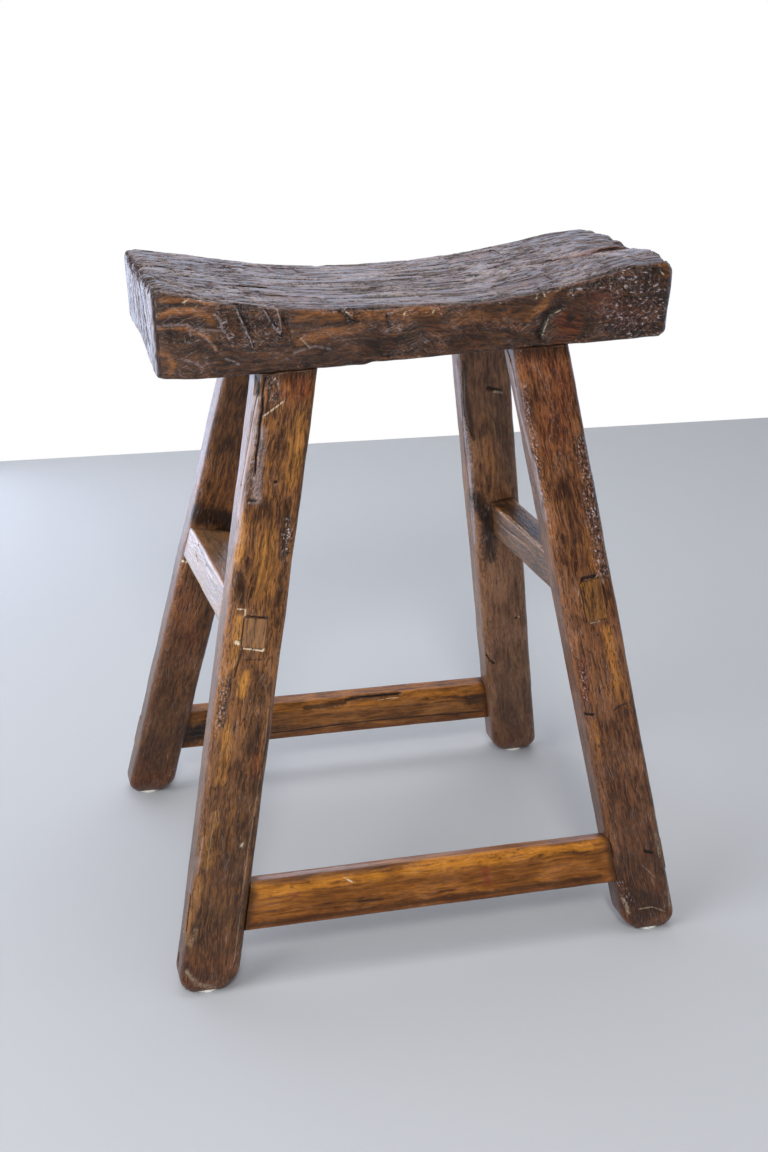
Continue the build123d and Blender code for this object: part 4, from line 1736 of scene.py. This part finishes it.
# What the photograph shows, by its pixels. Each row has a radius and a depth in millimetres and
# a strength, then x and y of each pixel that the mark's line goes through.
SEAT_MARKS = marks_from({
    Stain.AMBER: (
        (4, 0, 1, 304, 316, 312, 318),
        (3.4, -0.6, 1, 159, 316, 174, 311, 194, 311, 207, 316, 213, 324),
        (2.4, -0.5, 0.8, 158, 329, 185, 328, 209, 338, 216, 350),
        (3, -0.5, 0.9, 158, 353, 168, 355, 174, 364, 170, 373),
        (2.6, 0, 0.7, 160, 300, 190, 300, 215, 304),
        (7, 0, 0.8, 300, 316, 335, 314, 380, 313, 440, 312),
        (7, 0, 0.5, 455, 318, 500, 314, 530, 312),
        (5, 0, 0.6, 300, 342, 330, 332, 362, 328),
        (5, 0, 1, 552, 296, 540, 308, 528, 318),
        (3, 0, 0.7, 560, 297, 600, 290),
        (4, 0, 0.8, 664, 264, 668, 275),
    ),
    Stain.RED: (
        (11, 0, 0.4, 560, 316, 574, 322, 566, 336),
        (16, 0, 0.35, 600, 300, 640, 320),
        (4.2, 0, 1, 546, 260.5, 578, 255, 605, 248.5, 616, 247),
        (5, 0, 0.8, 141, 268, 170, 274),
    ),
    Stain.DARK: (
        (1.5, 1.3, 0.7, 237, 305, 245, 322, 253, 347),
        (1.6, 1.4, 0.7, 264, 309, 281, 336),
        (1.5, 1, 0.6, 277, 307, 286, 322),
        (1.2, 0.8, 0.6, 283, 316, 291, 335),
        (2.4, 0.6, 0.7, 159, 322, 185, 319, 200, 327),
        (2.2, 0.5, 0.7, 158, 306, 180, 305, 200, 305),
        (2.4, 0.4, 0.5, 160, 337, 185, 337, 205, 350),
        (3.4, 1.8, 0.8, 342, 311, 352, 323),
        (2.4, 0.8, 0.9, 388, 315, 390, 331),
        # The scar at the right front: sunk, its dark side partly painted shade
        (4.6, 1.6, 0.95, 562, 308, 551, 313, 544, 324, 541, 335),
        (6, 0.5, 0.8, 571, 317),
        (2.2, 0.3, 0.5, 582, 310, 590, 325, 578, 340),
        (1.8, 2, 1, 470.5, 275, 477, 276),
        (1.3, 0.6, 0.9, 546, 262, 578, 257, 605, 250, 618, 248.5),
        (1.5, 1.2, 0.9, 141, 266, 165, 268, 186, 276),
        (1.5, 1.4, 0.9, 142, 274, 160, 278),
        (1.5, 1.4, 0.9, 143, 281, 162, 281, 176, 285),
        (1.5, 1.2, 0.9, 145, 286, 160, 287),
        (1.5, 1.2, 0.8, 148, 292, 170, 291, 190, 294),
        (1.6, 1.6, 1, 222, 284.5, 240, 285.5, 265, 288),
        (1.6, 1.6, 1, 187, 269, 200, 272),
        (1.5, 2, 1, 220, 264.5, 234, 267.5),
        # Flutes on the left end: sunk, with dark lines that are partly painted shade in their steps
        (2.3, 2.2, 0.8, 130.6, 260, 131.5, 268, 133.7, 278, 135.6, 294, 138.8, 310, 142, 331),
        (2.2, 2, 0.8, 136.9, 265, 137.8, 276, 140.6, 290, 143, 305, 145.6, 320, 150, 345),
        (1.3, 0.8, 0.9, 241, 268, 249, 269, 256, 270),
        (1.3, 0.8, 0.9, 260, 270.5, 278, 272.5, 294, 274),
        (1.5, 1, 1, 258, 291, 262, 297),
        (1.2, 0.8, 0.8, 266, 297, 296, 298.5, 326, 300),
        (1.9, 0.8, 1, 301, 297, 304, 297),
        # Thin dark lines in the left end's flutes, partly painted shade
        (0.9, 0.8, 0.6, 141, 272, 144, 288, 149, 315),
        (0.8, 0.8, 0.7, 133.5, 262, 134.5, 272, 137, 286, 139.5, 300, 143, 320, 147, 345),
    ),
    Stain.PITTED: (
        (3.6, 0, 1, 238, 307, 246, 325, 252, 343),
        (3.4, 0, 1, 266, 311, 280, 334),
        (9, 0, 0.25, 250, 308, 262, 340),
        (6, 0.5, 0.6, 220, 312, 230, 340),
        (5, 0, 0.9, 345, 308, 353, 320),
        (4, 0, 0.5, 330, 310, 400, 314, 470, 311),
        (24, 0, 1, 628, 290, 655, 300, 640, 330, 625, 320),
        (6, 0, 1, 575, 292, 610, 285, 650, 272),
        (3, 0.6, 1, 152.5, 300, 153.5, 312),
    ),
    # Painted sheen and glints: the thin lines along the front's notches are painted glints, the arcs below
    # them pale scratches, and the broad marks on the top a painted sheen
    Stain.SHEEN_AND_SCRATCHES: (
        (0.8, 0, 0.6, 236, 309, 244, 326, 250, 339, 252.5, 347),
        (0.8, 0, 0.6, 264, 310, 272.5, 325, 280, 334),
        (0.7, 0, 0.5, 276.5, 309, 280, 320, 281, 332),
        (1.4, 0, 0.3, 214, 314, 220, 320, 222.5, 329, 227.5, 336, 232.5, 345),
        (1.2, 0, 0.24, 156.5, 326.5, 172, 325, 187.5, 325, 190, 331, 191, 337.5),
        (1.2, 0, 0.24, 189, 326, 202.5, 335, 212.5, 344, 216, 350),
        (1.2, 0, 0.2, 188, 328, 220, 331),
        (1.2, 0, 0.22, 181, 359, 192.5, 362.5, 202.5, 367.5),
        (1.2, 0, 0.22, 226, 359, 239, 364),
        (1.2, 0, 0.22, 294, 352.5, 315, 346, 330, 349),
        (4.5, -0.3, 0.5, 482, 274.5, 496, 272, 506, 271),
        (7, 0, 0.5, 556, 257, 590, 251, 622, 254),
        (4.5, -0.3, 0.5, 436, 280.5, 470, 279.5),
        (3, 0, 0.8, 235, 268, 241, 269.5),
        (3, 0, 0.7, 304, 296.5, 322, 297.5),
    ),
    Stain.PALE: (
        (0.8, 0.6, 0.25, 299, 337, 308, 346),
        # The scar's raised rim: pale, a painted highlight
        (0.7, -0.6, 0.4, 560, 311, 554, 314),
        (0.7, -0.6, 0.3, 549, 319, 545.5, 327, 543, 335),
        (1, 0.5, 0.7, 184, 302.5, 186, 300.5),
        (1, 0.4, 0.5, 154, 302, 155, 306),
        # Painted glints: pale dots along the seat's front edge
        (0.9, 0.4, 0.6, 347, 312, 349, 314),
        (0.9, 0.4, 0.7, 404, 315, 405, 313),
        (0.9, 0.4, 0.6, 433, 312.5, 434, 310.5),
        (1, 0.4, 0.8, 536.5, 298, 537.5, 295),
        (0.9, 0.4, 0.6, 544, 293, 545, 296),
        (0.8, 0.4, 0.6, 661, 271, 663, 274),
    ),
})

LEG_MARKS = {
    Corner.FRONT_LEFT: marks_from({
        Stain.AMBER: (
            (5, 0, 0.7, 241, 515, 238, 560),
            (9, 0, 0.5, 300, 420, 292, 480),
            (10, 0, 0.5, 268, 540, 262, 590),
            (5, 0, 0.8, 216, 815, 207.5, 852, 205, 865),
            (4, 0, 0.8, 238.5, 618, 233, 666),
            (5.5, 0, 1, 245, 676, 241, 694),
            (6, 0, 0.6, 228, 730, 222, 780),
            (5, 0, 0.5, 200, 880, 186, 940),
        ),
        Stain.RED: (
            (16, 0, 0.55, 288, 386, 312, 384),
            (5, 0, 0.6, 257, 755, 255, 775),
        ),
        Stain.DARK: (
            (1, 1.6, 1, 265.5, 378, 262.8, 394, 263, 410, 260, 424, 259.4, 438, 256.4, 456, 255.5, 474),
            (1.8, 1.2, 1, 276, 482),
            (1.2, 1, 0.9, 248.8, 501, 256, 501),
            (4.5, 0.6, 0.6, 289, 500, 283, 556),
            (0.7, 0.6, 0.8, 258.5, 385, 250, 430, 241, 485),
            (4, 1.6, 1, 258.5, 371, 257, 378, 256.5, 392),
            (0.7, 0.5, 0.9, 247, 619, 245, 646),
            (0.6, 0.4, 0.7, 265.5, 620, 263.5, 648),
            (0.6, 0.3, 0.5, 245, 660, 261, 660),
            (9, 0, 0.5, 205, 945, 232, 952),
            (2.6, 0.4, 0.7, 244, 720),
            (1.4, 0.8, 0.9, 247, 617, 266.6, 618.5),
            (5, 0.4, 0.75, 239, 576, 241, 601),
            (0.9, 0.8, 0.8, 241, 654, 237, 668, 235, 677),
            (9, 0, 0.6, 263, 677, 257, 702),
            (12, 0, 0.6, 255, 722, 250, 745),
            (14, 0, 0.6, 251, 785, 245, 825, 240, 850, 232, 880),
            (7, 0, 0.35, 206, 860, 196, 900),
            (3.4, 0.5, 0.7, 286, 564, 276.4, 604.5),
            (1.6, 1.5, 1, 179, 953, 177.5, 966),
            (9, 0.3, 0.7, 190, 972, 230, 980),
        ),
        Stain.PITTED: (
            (7, 1, 1, 272, 379, 274, 397),
            (7, 0.6, 0.9, 258, 440, 255, 498),
            (5, 1, 1, 289, 521, 286.4, 552),
            (5, 0.3, 0.8, 227, 680, 220, 725),
        ),
        Stain.SHEEN_AND_SCRATCHES: (
            # Painted sheen on the upper left arris and face
            (4.6, 0, 0.8, 261, 372, 254, 420, 244, 480, 236, 540),
            (5, 0, 0.35, 262, 430, 256, 500),
            (0.8, 0.2, 0.3, 203, 838, 198, 872),
            (0.7, 0.2, 0.1, 222, 836, 226, 880),
            (4, 0, 0.4, 197.5, 860, 187.5, 900),
        ),
        Stain.PALE: (
            # A painted glint across the front face
            (0.8, 0.3, 0.6, 284, 401, 275, 408, 264.5, 415.5),
            (0.7, 0, 0.12, 269, 697, 265.5, 740, 255.5, 805, 248, 850, 234.5, 960),
            (2.6, 0, 0.8, 242, 845),
            (0.7, 0.2, 0.14, 216, 812, 211, 838, 207, 870),
            (2.6, 0.4, 0.26, 186, 972, 197, 984, 214, 988),
            (2.4, 0.3, 0.18, 196, 930, 190, 945),
            (1.9, 1, 1, 235.7, 642.5, 240.6, 643.5),
            (0.7, 0.4, 0.9, 238.5, 609.4, 245.5, 609.4, 244, 641),
            (0.8, 0.5, 0.9, 265.6, 638, 263.4, 651.2, 243.5, 648.5),
            (2.4, 1.2, 0.8, 183.5, 932),
        ),
    }),
    Corner.FRONT_RIGHT: marks_from({
        Stain.AMBER: (
            (6, 0, 0.9, 606, 630, 614, 665, 622, 700),
            (4, 0, 0.4, 585, 530, 592, 570),
            (3, 0, 0.8, 594, 722, 600, 760),
        ),
        Stain.RED: (
            (5, 0.3, 0.8, 583, 662, 587, 700),
            (20, 0, 0.35, 530, 364, 556, 366, 552, 440),
        ),
        Stain.DARK: (
            (1.5, 1.2, 1, 585, 714, 594, 715),
            (0.9, 0.8, 0.6, 615, 710, 621, 706, 627, 704),
            (1.6, 2.2, 1, 508, 352, 512, 366, 516, 386),
            (1.6, 1, 0.9, 583, 578.5, 596, 576),
            (1.4, 2, 1, 582.5, 580, 588, 614),
            (0.8, 0.6, 0.6, 602, 582, 608, 604, 604, 618),
            (16, 0, 0.8, 632, 898, 660, 905, 640, 915),
            (1.4, 1.2, 1, 645, 851, 653, 853),
            # Painted shade on the left face of the foot, which lies in shadow
            (6, 0, 0.9, 613, 882, 618, 904),
            (6, 0, 0.45, 565, 480, 575, 540),
        ),
        Stain.PITTED: (
            (9, 0.2, 0.2, 545, 380, 560, 470),
            (4, 0.3, 0.7, 583, 665, 586, 700),
            (14, 0, 0.12, 530, 360, 560, 380, 575, 450),
            (5, 0.5, 0.8, 523, 390, 534, 450, 542, 500),
            (9, 0.5, 1, 583, 440, 592, 500, 604, 570),
            (6, 0.4, 0.8, 622, 883, 630, 903),
        ),
        # Painted sheen on the left face
        Stain.SHEEN_AND_SCRATCHES: ((4, 0, 0.75, 512, 365, 519, 410, 535, 470, 545, 520),),
        Stain.PALE: (
            (0.9, 0.3, 0.35, 591, 623, 599, 621),
            (1.2, 0.3, 0.7, 606, 612),
            (2.4, 0.8, 0.35, 596, 577, 602, 582),
            (0.7, 0.3, 0.3, 640, 909, 652, 907, 664, 911),
            (0.7, 0.2, 0.14, 643, 866, 655, 877),
            (2.3, 0.4, 0.24, 656, 834, 660, 856),
            (2.4, 0.4, 0.28, 622, 897, 626, 905, 628, 913),
            (2.1, 0.3, 0.28, 668, 884, 669.5, 905),
        ),
    }),
    Corner.BACK_RIGHT: marks_from({
        Stain.AMBER: ((9, 0, 0.4, 485, 420, 492, 470),),
        Stain.DARK: (
            (2.2, 2, 1, 488, 388, 501, 391),
            (11, 0, 0.95, 476, 498, 488, 520, 490, 556),
            (1.8, 1.6, 1, 516, 618, 528, 620),
            (1.8, 1.6, 0.9, 486, 655, 494, 664),
            (2.4, 0.4, 0.8, 464, 362, 467, 400, 474, 440),
            (1.2, 0.6, 0.8, 462.4, 372, 464, 413.6, 472, 436),
            (0.8, 0.6, 0.8, 459.5, 380, 463, 430, 470, 500),
            (14, 0, 0.6, 500, 680, 515, 735),
            (9, 0, 0.4, 500, 400, 510, 480),
        ),
        Stain.PITTED: ((6, 0.6, 1, 458, 362, 461, 400, 468, 450, 474, 540),),
        # Painted sheen on the left face
        Stain.SHEEN_AND_SCRATCHES: ((5.5, 0, 0.85, 457, 370, 461, 410, 469, 470, 474, 540),),
        Stain.PALE: (
            (1.2, 0.4, 0.8, 494, 392, 501, 393),
            (1.4, 0.4, 0.6, 519, 617, 528, 616),
        ),
    }),
    Corner.BACK_LEFT: marks_from({
        Stain.RED: ((12, 0, 0.4, 180, 590, 190, 640),),
        Stain.DARK: (
            (14, 0, 0.95, 198, 515, 230, 520, 225, 530),
            (4, 0, 0.6, 210, 412, 236, 416),
            (14, 0, 0.5, 150, 760, 165, 770),
        ),
        Stain.PALE: ((1.4, 0.5, 0.9, 182, 561, 188, 562),),
    }),
}

STRETCHER_MARKS = {
    "stretcher_front": marks_from({
        Stain.AMBER: ((5.5, 0, 1, 262, 893, 400, 872, 590, 846),),
        Stain.RED: (
            (6, 0, 1, 290, 888, 295, 892),
            (5, 0, 1, 485, 870, 487, 882),
        ),
        Stain.DARK: (
            (2.2, 0.3, 0.5, 292, 887),
            (3, 0, 0.4, 252, 884, 330, 873, 420, 861),
            (3, 0, 0.7, 250, 926, 400, 905, 600, 877),
            (0.9, 0.5, 0.7, 360, 902, 384, 899),
            (0.8, 0.5, 0.6, 440, 892, 455, 890),
        ),
        # Painted sheen on the top face
        Stain.SHEEN_AND_SCRATCHES: (
            (5, 0, 0.62, 262, 878, 330, 869, 365, 865),
            (4, 0, 0.4, 365, 865, 410, 859),
            (3, 0, 0.22, 410, 859, 470, 850),
        ),
        Stain.PALE: ((0.9, 0.3, 0.7, 345, 878, 352, 882),),
    }),
    "stretcher_back": marks_from({
        Stain.AMBER: (
            (7, 0, 0.6, 300, 712, 380, 704, 460, 694),
            (3, 0, 1, 400, 693, 416, 691),
        ),
        Stain.DARK: (
            (17, 0, 1, 182, 732, 212, 727),
            (3.4, 0.3, 0.8, 305, 708, 325, 706, 345, 703),
            (2.4, 1.6, 1, 346, 700.5, 362, 697, 400, 693.5),
            (1.2, 0, 0.8, 272, 733, 377, 720, 482, 711),
            (10, 0, 0.7, 470, 700, 484, 698),
        ),
        Stain.PALE: ((0.7, 0, 0.5, 377, 700, 398, 697.5),),
    }),
    "stretcher_left": marks_from({
        Stain.DARK: (
            (1.2, 0.8, 0.6, 198, 545, 204, 556),
            (1.2, 0.8, 0.5, 206, 565, 212, 575),
            (1.2, 0.8, 0.6, 196, 556, 198, 562),
        ),
    }),
    "stretcher_right": marks_from({
        Stain.DARK: (
            (5, 0, 0.5, 504, 505, 522, 520, 544, 540),
            (1, 0.6, 0.6, 500, 524, 530, 548),
            (5, 0, 0.8, 494, 506, 504, 506),
        ),
        Stain.PALE: ((1, 0.2, 0.6, 500, 512, 508, 516, 521, 528, 541, 546),),
    }),
}

FINISHES = {
    "seat": ElmFinish(
        "waxed_elm_seat", body="#3f2415", heart="#20110b", amber="#7a4a20", honey="#9a602b", warp=4.0,
        warp_size=38.0, streak_width=2.8, streak_length=34.0, fleck_share=0.6, pit_size=2.2, bump=1.7,
        scratch_share=0.42, scratch_turns=((0.6, 0.0, 0.0), (-0.45, 0.0, 0.0)), glint_and_wax_share=0.25, coat=0.7,
        specular=0.1,
    ),
    "front_left": ElmFinish(
        "shellacked_elm_front_left", body="#7d5232", heart="#4b301e", amber="#b07434", honey="#d0903e",
        amber_share=0.42,
    ),
    "front_right": ElmFinish(
        "shellacked_elm_front_right", body="#7a4f32", heart="#48291a", amber="#a76a33", amber_share=0.3,
    ),
    "back_left": ElmFinish(
        "shellacked_elm_back_left", body="#754925", heart="#4a2c17", amber="#9c642c", amber_share=0.2,
    ),
    "back_right": ElmFinish(
        "shellacked_elm_back_right", body="#a27250", heart="#664431", amber="#b07f50", amber_share=0.2,
        fleck_share=0.55,
    ),
    "stretcher_front": ElmFinish(
        "shellacked_elm_front_stretcher", body="#864f17", heart="#6a3d10", amber="#b8731c", honey="#cb8322",
        amber_share=0.4, fleck_share=0.3, scratch_share=0.12, glint_and_wax_share=0.04, coat=0.3,
    ),
    "stretcher_back": ElmFinish(
        "shellacked_elm_back_stretcher", body="#87531e", heart="#5a3410", amber="#b07022", honey="#b8752a",
        amber_share=0.4, fleck_share=0.35, scratch_share=0.12, glint_and_wax_share=0.04, coat=0.35,
    ),
    # Painted light: a lighter colour than the other stretchers', offsetting the shade between the legs
    "stretcher_left": ElmFinish(
        "shellacked_elm_left_stretcher", body="#957355", heart="#7a5e48", amber_share=0.2, fleck_share=0.22,
        scratch_share=0.1, glint_and_wax_share=0.05, coat=0.9,
    ),
    "stretcher_right": ElmFinish(
        "shellacked_elm_right_stretcher", body="#70543e", heart="#443023", amber_share=0.15,
        scratch_share=0.1, glint_and_wax_share=0.05, coat=0.4,
    ),
    "wedge": ElmFinish("oiled_hardwood_wedge", body="#33241c", heart="#1f1512", amber_share=0.0, coat=0.1),
}


class Lamp(NamedTuple):
    """A soft oblong lamp, in millimetres and watts."""

    name: str
    place: tuple[float, float, float]
    size: tuple[float, float]
    power: float
    colour: str

    def build(self, aim: Vector) -> None:
        """Puts the lamp in the scene, pointed at a place."""
        data = bpy.data.lights.new(self.name, "AREA")
        data.shape = "RECTANGLE"
        data.size = self.size[0] * MM
        data.size_y = self.size[1] * MM
        data.energy = self.power
        data.color = linear(self.colour)[:3]
        lamp = put_in_scene(self.name, data)
        lamp.location = Vector(self.place) * MM
        lamp.rotation_euler = (aim * MM - lamp.location).to_track_quat("-Z", "Y").to_euler()


LAMPS = (
    Lamp("back_window", (-800, 850, 300), (1200, 600), 6.5, "#dbe6ff"),
    Lamp("left_window", (-2300, -900, 1500), (1800, 1800), 50.0, "#ffffff"),
    Lamp("front", (-500, -2300, 2100), (420, 420), 34.0, "#fffaf2"),
    Lamp("overhead", (200, 300, 2600), (1500, 1500), 24.0, "#ffffff"),
)


@dataclass(frozen=True)
class Studio:
    """The pale floor, the white cove behind it and the soft lamps."""

    floor_colour: str = "#b1b4b9"
    wall_colour: str = "#ffffff"
    reflected_colour: str = "#dbe5ff"
    reflected_strength: float = 1.35
    floor_reach: float = 6000.0
    cove_start: float = 1300.0
    cove_radius: float = 600.0
    cove_steps: int = 16
    wall_height: float = 5000.0
    stool_middle: tuple[float, float, float] = (0.0, 0.0, 280.0)
    sky_colour: str = "#f6f8ff"
    sky_strength: float = 0.4
    reflected_sky: float = 0.12

    def surface(self, name: str, colour: str, glow: float) -> Material:
        """A matt surface that the camera and reflections see brighter by a glow.

        Args:
            name: The material's name.
            colour: Its hex colour.
            glow: Strength of the light that the camera and glossy rays see in it.

        Returns:
            The material.
        """
        material = new_material(name)
        tree = material.node_tree
        add = partial(add_node, tree)
        path = add("ShaderNodeLightPath").outputs
        direct = path["Is Camera Ray"]
        tints = {0: direct, 6: linear(self.reflected_colour), 7: linear(colour)}
        tint = add(MIX, tints, data_type="RGBA").outputs[2]
        matt = add("ShaderNodeBsdfDiffuse", {"Color": linear(colour)})
        strengths = {"Value": direct, "To Min": self.reflected_strength, "To Max": 1.0}
        strength = add(MAP_RANGE, strengths).outputs[0]
        light = add("ShaderNodeEmission", {"Color": tint, "Strength": strength})
        seen = add(MATH, {0: direct, 1: path["Is Glossy Ray"]}, operation="MAXIMUM").outputs[0]
        share = add(MATH, {0: seen, 1: glow}, operation="MULTIPLY").outputs[0]
        both = {0: share, 1: matt.outputs[0], 2: light.outputs[0]}
        mixed = add("ShaderNodeMixShader", both)
        add("ShaderNodeOutputMaterial", {"Surface": mixed.outputs[0]})
        return material

    def sheet(self, name: str, profile: list[tuple[float, float]], finish: Material) -> None:
        """A wide sheet with a given profile, seen from the side.

        Args:
            name: The object's name.
            profile: Its points as distance behind the stool and height.
            finish: Its material.
        """
        reach = self.floor_reach
        rows = [[(-reach, y, z), (reach, y, z)] for y, z in profile]
        points = [(x * MM, y * MM, z * MM) for row in rows for x, y, z in row]
        faces = [(2 * i, 2 * i + 1, 2 * i + 3, 2 * i + 2) for i in range(len(profile) - 1)]
        mesh = bpy.data.meshes.new(name)
        mesh.from_pydata(points, [], faces)
        mesh.materials.append(finish)
        for polygon in mesh.polygons:
            polygon.use_smooth = True
        sheet = put_in_scene(name, mesh)

    def build(self) -> None:
        """Builds the stage, the lamps and the world."""
        floor = self.surface("pale_floor", self.floor_colour, 0.0)
        wall = self.surface("white_cove", self.wall_colour, 1.0)
        self.sheet("floor", [(-self.floor_reach, 0), (self.cove_start, 0)], floor)
        curve = []
        for step in range(self.cove_steps + 1):
            turn = math.pi / 2 * step / self.cove_steps
            behind = self.cove_start + self.cove_radius * math.sin(turn)
            curve.append((behind, self.cove_radius * (1 - math.cos(turn))))
        self.sheet("cove", [*curve, (curve[-1][0], self.wall_height)], wall)
        for lamp in LAMPS:
            lamp.build(Vector(self.stool_middle))
        world = bpy.data.worlds.new("studio_light")
        world.use_nodes = True
        tree = world.node_tree
        tree.nodes.clear()
        add = partial(add_node, tree)
        path = add("ShaderNodeLightPath").outputs
        dims = {"Value": path["Is Glossy Ray"], "To Min": self.sky_strength, "To Max": self.reflected_sky}
        dimmed = add(MAP_RANGE, dims).outputs[0]
        brighter = {0: path["Is Camera Ray"], 1: dimmed}
        strength = add(MATH, brighter, operation="MAXIMUM").outputs[0]
        sky = {"Color": linear(self.sky_colour), "Strength": strength}
        light = add("ShaderNodeBackground", sky)
        add("ShaderNodeOutputWorld", {"Surface": light.outputs[0]})
        bpy.context.scene.world = world


def make_legs(seat: SaddleSeat) -> dict[Corner, SplayedLeg]:
    """Describes the four legs, each a little different, as hand work leaves them.

    Args:
        seat: The seat that they carry.

    Returns:
        The legs by their corners.
    """
    # Corner, head, foot, width, inset of the tenon, seed of the aging
    rows = (
        (Corner.FRONT_LEFT, (-101.92, -69.5), (-188.0, -167.0), 47.0, 6.0, 1.0),
        (Corner.FRONT_RIGHT, (97.51, -69.5), (188.0, -164.5), 47.0, 6.0, 2.0),
        (Corner.BACK_LEFT, (-97.51, 69.5), (-193.64, 166.17), 43.7, 0.0, 3.0),
        (Corner.BACK_RIGHT, (93.59, 69.5), (183.3, 172.0), 46.3, 0.0, 5.0),
    )
    return {
        corner: SplayedLeg(
            corner, head, foot, width, seat,
            tenon_inset=inset, aging=Aging(seed=seed), marks=LEG_MARKS[corner],
        )
        for corner, head, foot, width, inset, seed in rows
    }


def make_stretchers(legs: dict[Corner, SplayedLeg]) -> dict[tuple[Corner, Corner], Stretcher]:
    """Describes the four stretchers, each a little different too.

    Args:
        legs: The legs by their corners.

    Returns:
        The stretchers by the two corners that they join.
    """
    front = (Corner.FRONT_LEFT, Corner.FRONT_RIGHT)
    back = (Corner.BACK_LEFT, Corner.BACK_RIGHT)
    left = (Corner.FRONT_LEFT, Corner.BACK_LEFT)
    right = (Corner.FRONT_RIGHT, Corner.BACK_RIGHT)
    rows = {
        front: (LongStretcher, "stretcher_front", {
            "height": 38.5, "level": 65.0, "fall": 0.5, "bevel": (3.5, 3.5),
        }),
        back: (LongStretcher, "stretcher_back", {
            "height": 40.5, "level": 66.0, "fall": 3.0, "bevel": (8.0, 5.0), "bevel_glow": 0.3,
            "aging": Aging(unevenness=1.2, uneven_size=38.0, groove_depth=0.4, seed=12.0),
        }),
        left: (ShortStretcher, "stretcher_left", {
            "height": 30.0, "width": 38.0, "taper": 0.72, "body_set": 1.5, "level": 280.0, "fall": 6.0,
            "tenon_width": 17.5, "tenon_height": 22.0, "tenon_set": 0.5,
        }),
        right: (ShortStretcher, "stretcher_right", {
            "height": 34.0, "width": 22.5, "taper": 0.93, "body_set": 4.2, "level": 283.0, "fall": 2.0,
            "tenon_width": 17.5, "tenon_height": 32.5, "tenon_set": 2.5,
        }),
    }
    return {
        ends: kind(name=name, near=legs[ends[0]], far=legs[ends[1]], marks=STRETCHER_MARKS[name], **sizes)
        for ends, (kind, name, sizes) in rows.items()
    }


def main() -> None:
    """Builds the stool's pieces in order and reports each one."""
    logging.basicConfig(level=logging.INFO, format="%(message)s")
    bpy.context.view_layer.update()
    shop = Workshop(bar_tree(), weather_tree(), {name: finish.build() for name, finish in FINISHES.items()})
    seat = SaddleSeat(marks=SEAT_MARKS)
    legs = make_legs(seat)
    stretchers = make_stretchers(legs)
    seat.build(shop, [leg.tenon(leg.clearance).mesh(shop.bar) for leg in legs.values()])
    for corner, leg in legs.items():
        crossing = [stretcher for ends, stretcher in stretchers.items() if corner in ends]
        leg.build(shop, [stretcher.tenon(stretcher.clearance) for stretcher in crossing])
    for stretcher in stretchers.values():
        stretcher.build(shop)
    pad_finish = PadFinish().build()
    for corner, (part, finish) in itertools.product(
        Corner, (("wedge", shop.finishes["wedge"]), ("foot_pad", pad_finish))
    ):
        node = f"{part}_{corner.value}"
        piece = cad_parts[node]
        piece.data.materials.clear()
        piece.data.materials.append(finish)
        LOG.info("%s keeps its CAD shape", node)
    Studio().build()
    PHOTO_CAMERA.build()
    bpy.context.scene.view_settings.view_transform = "Standard"


if __name__ == "__main__":
    main()
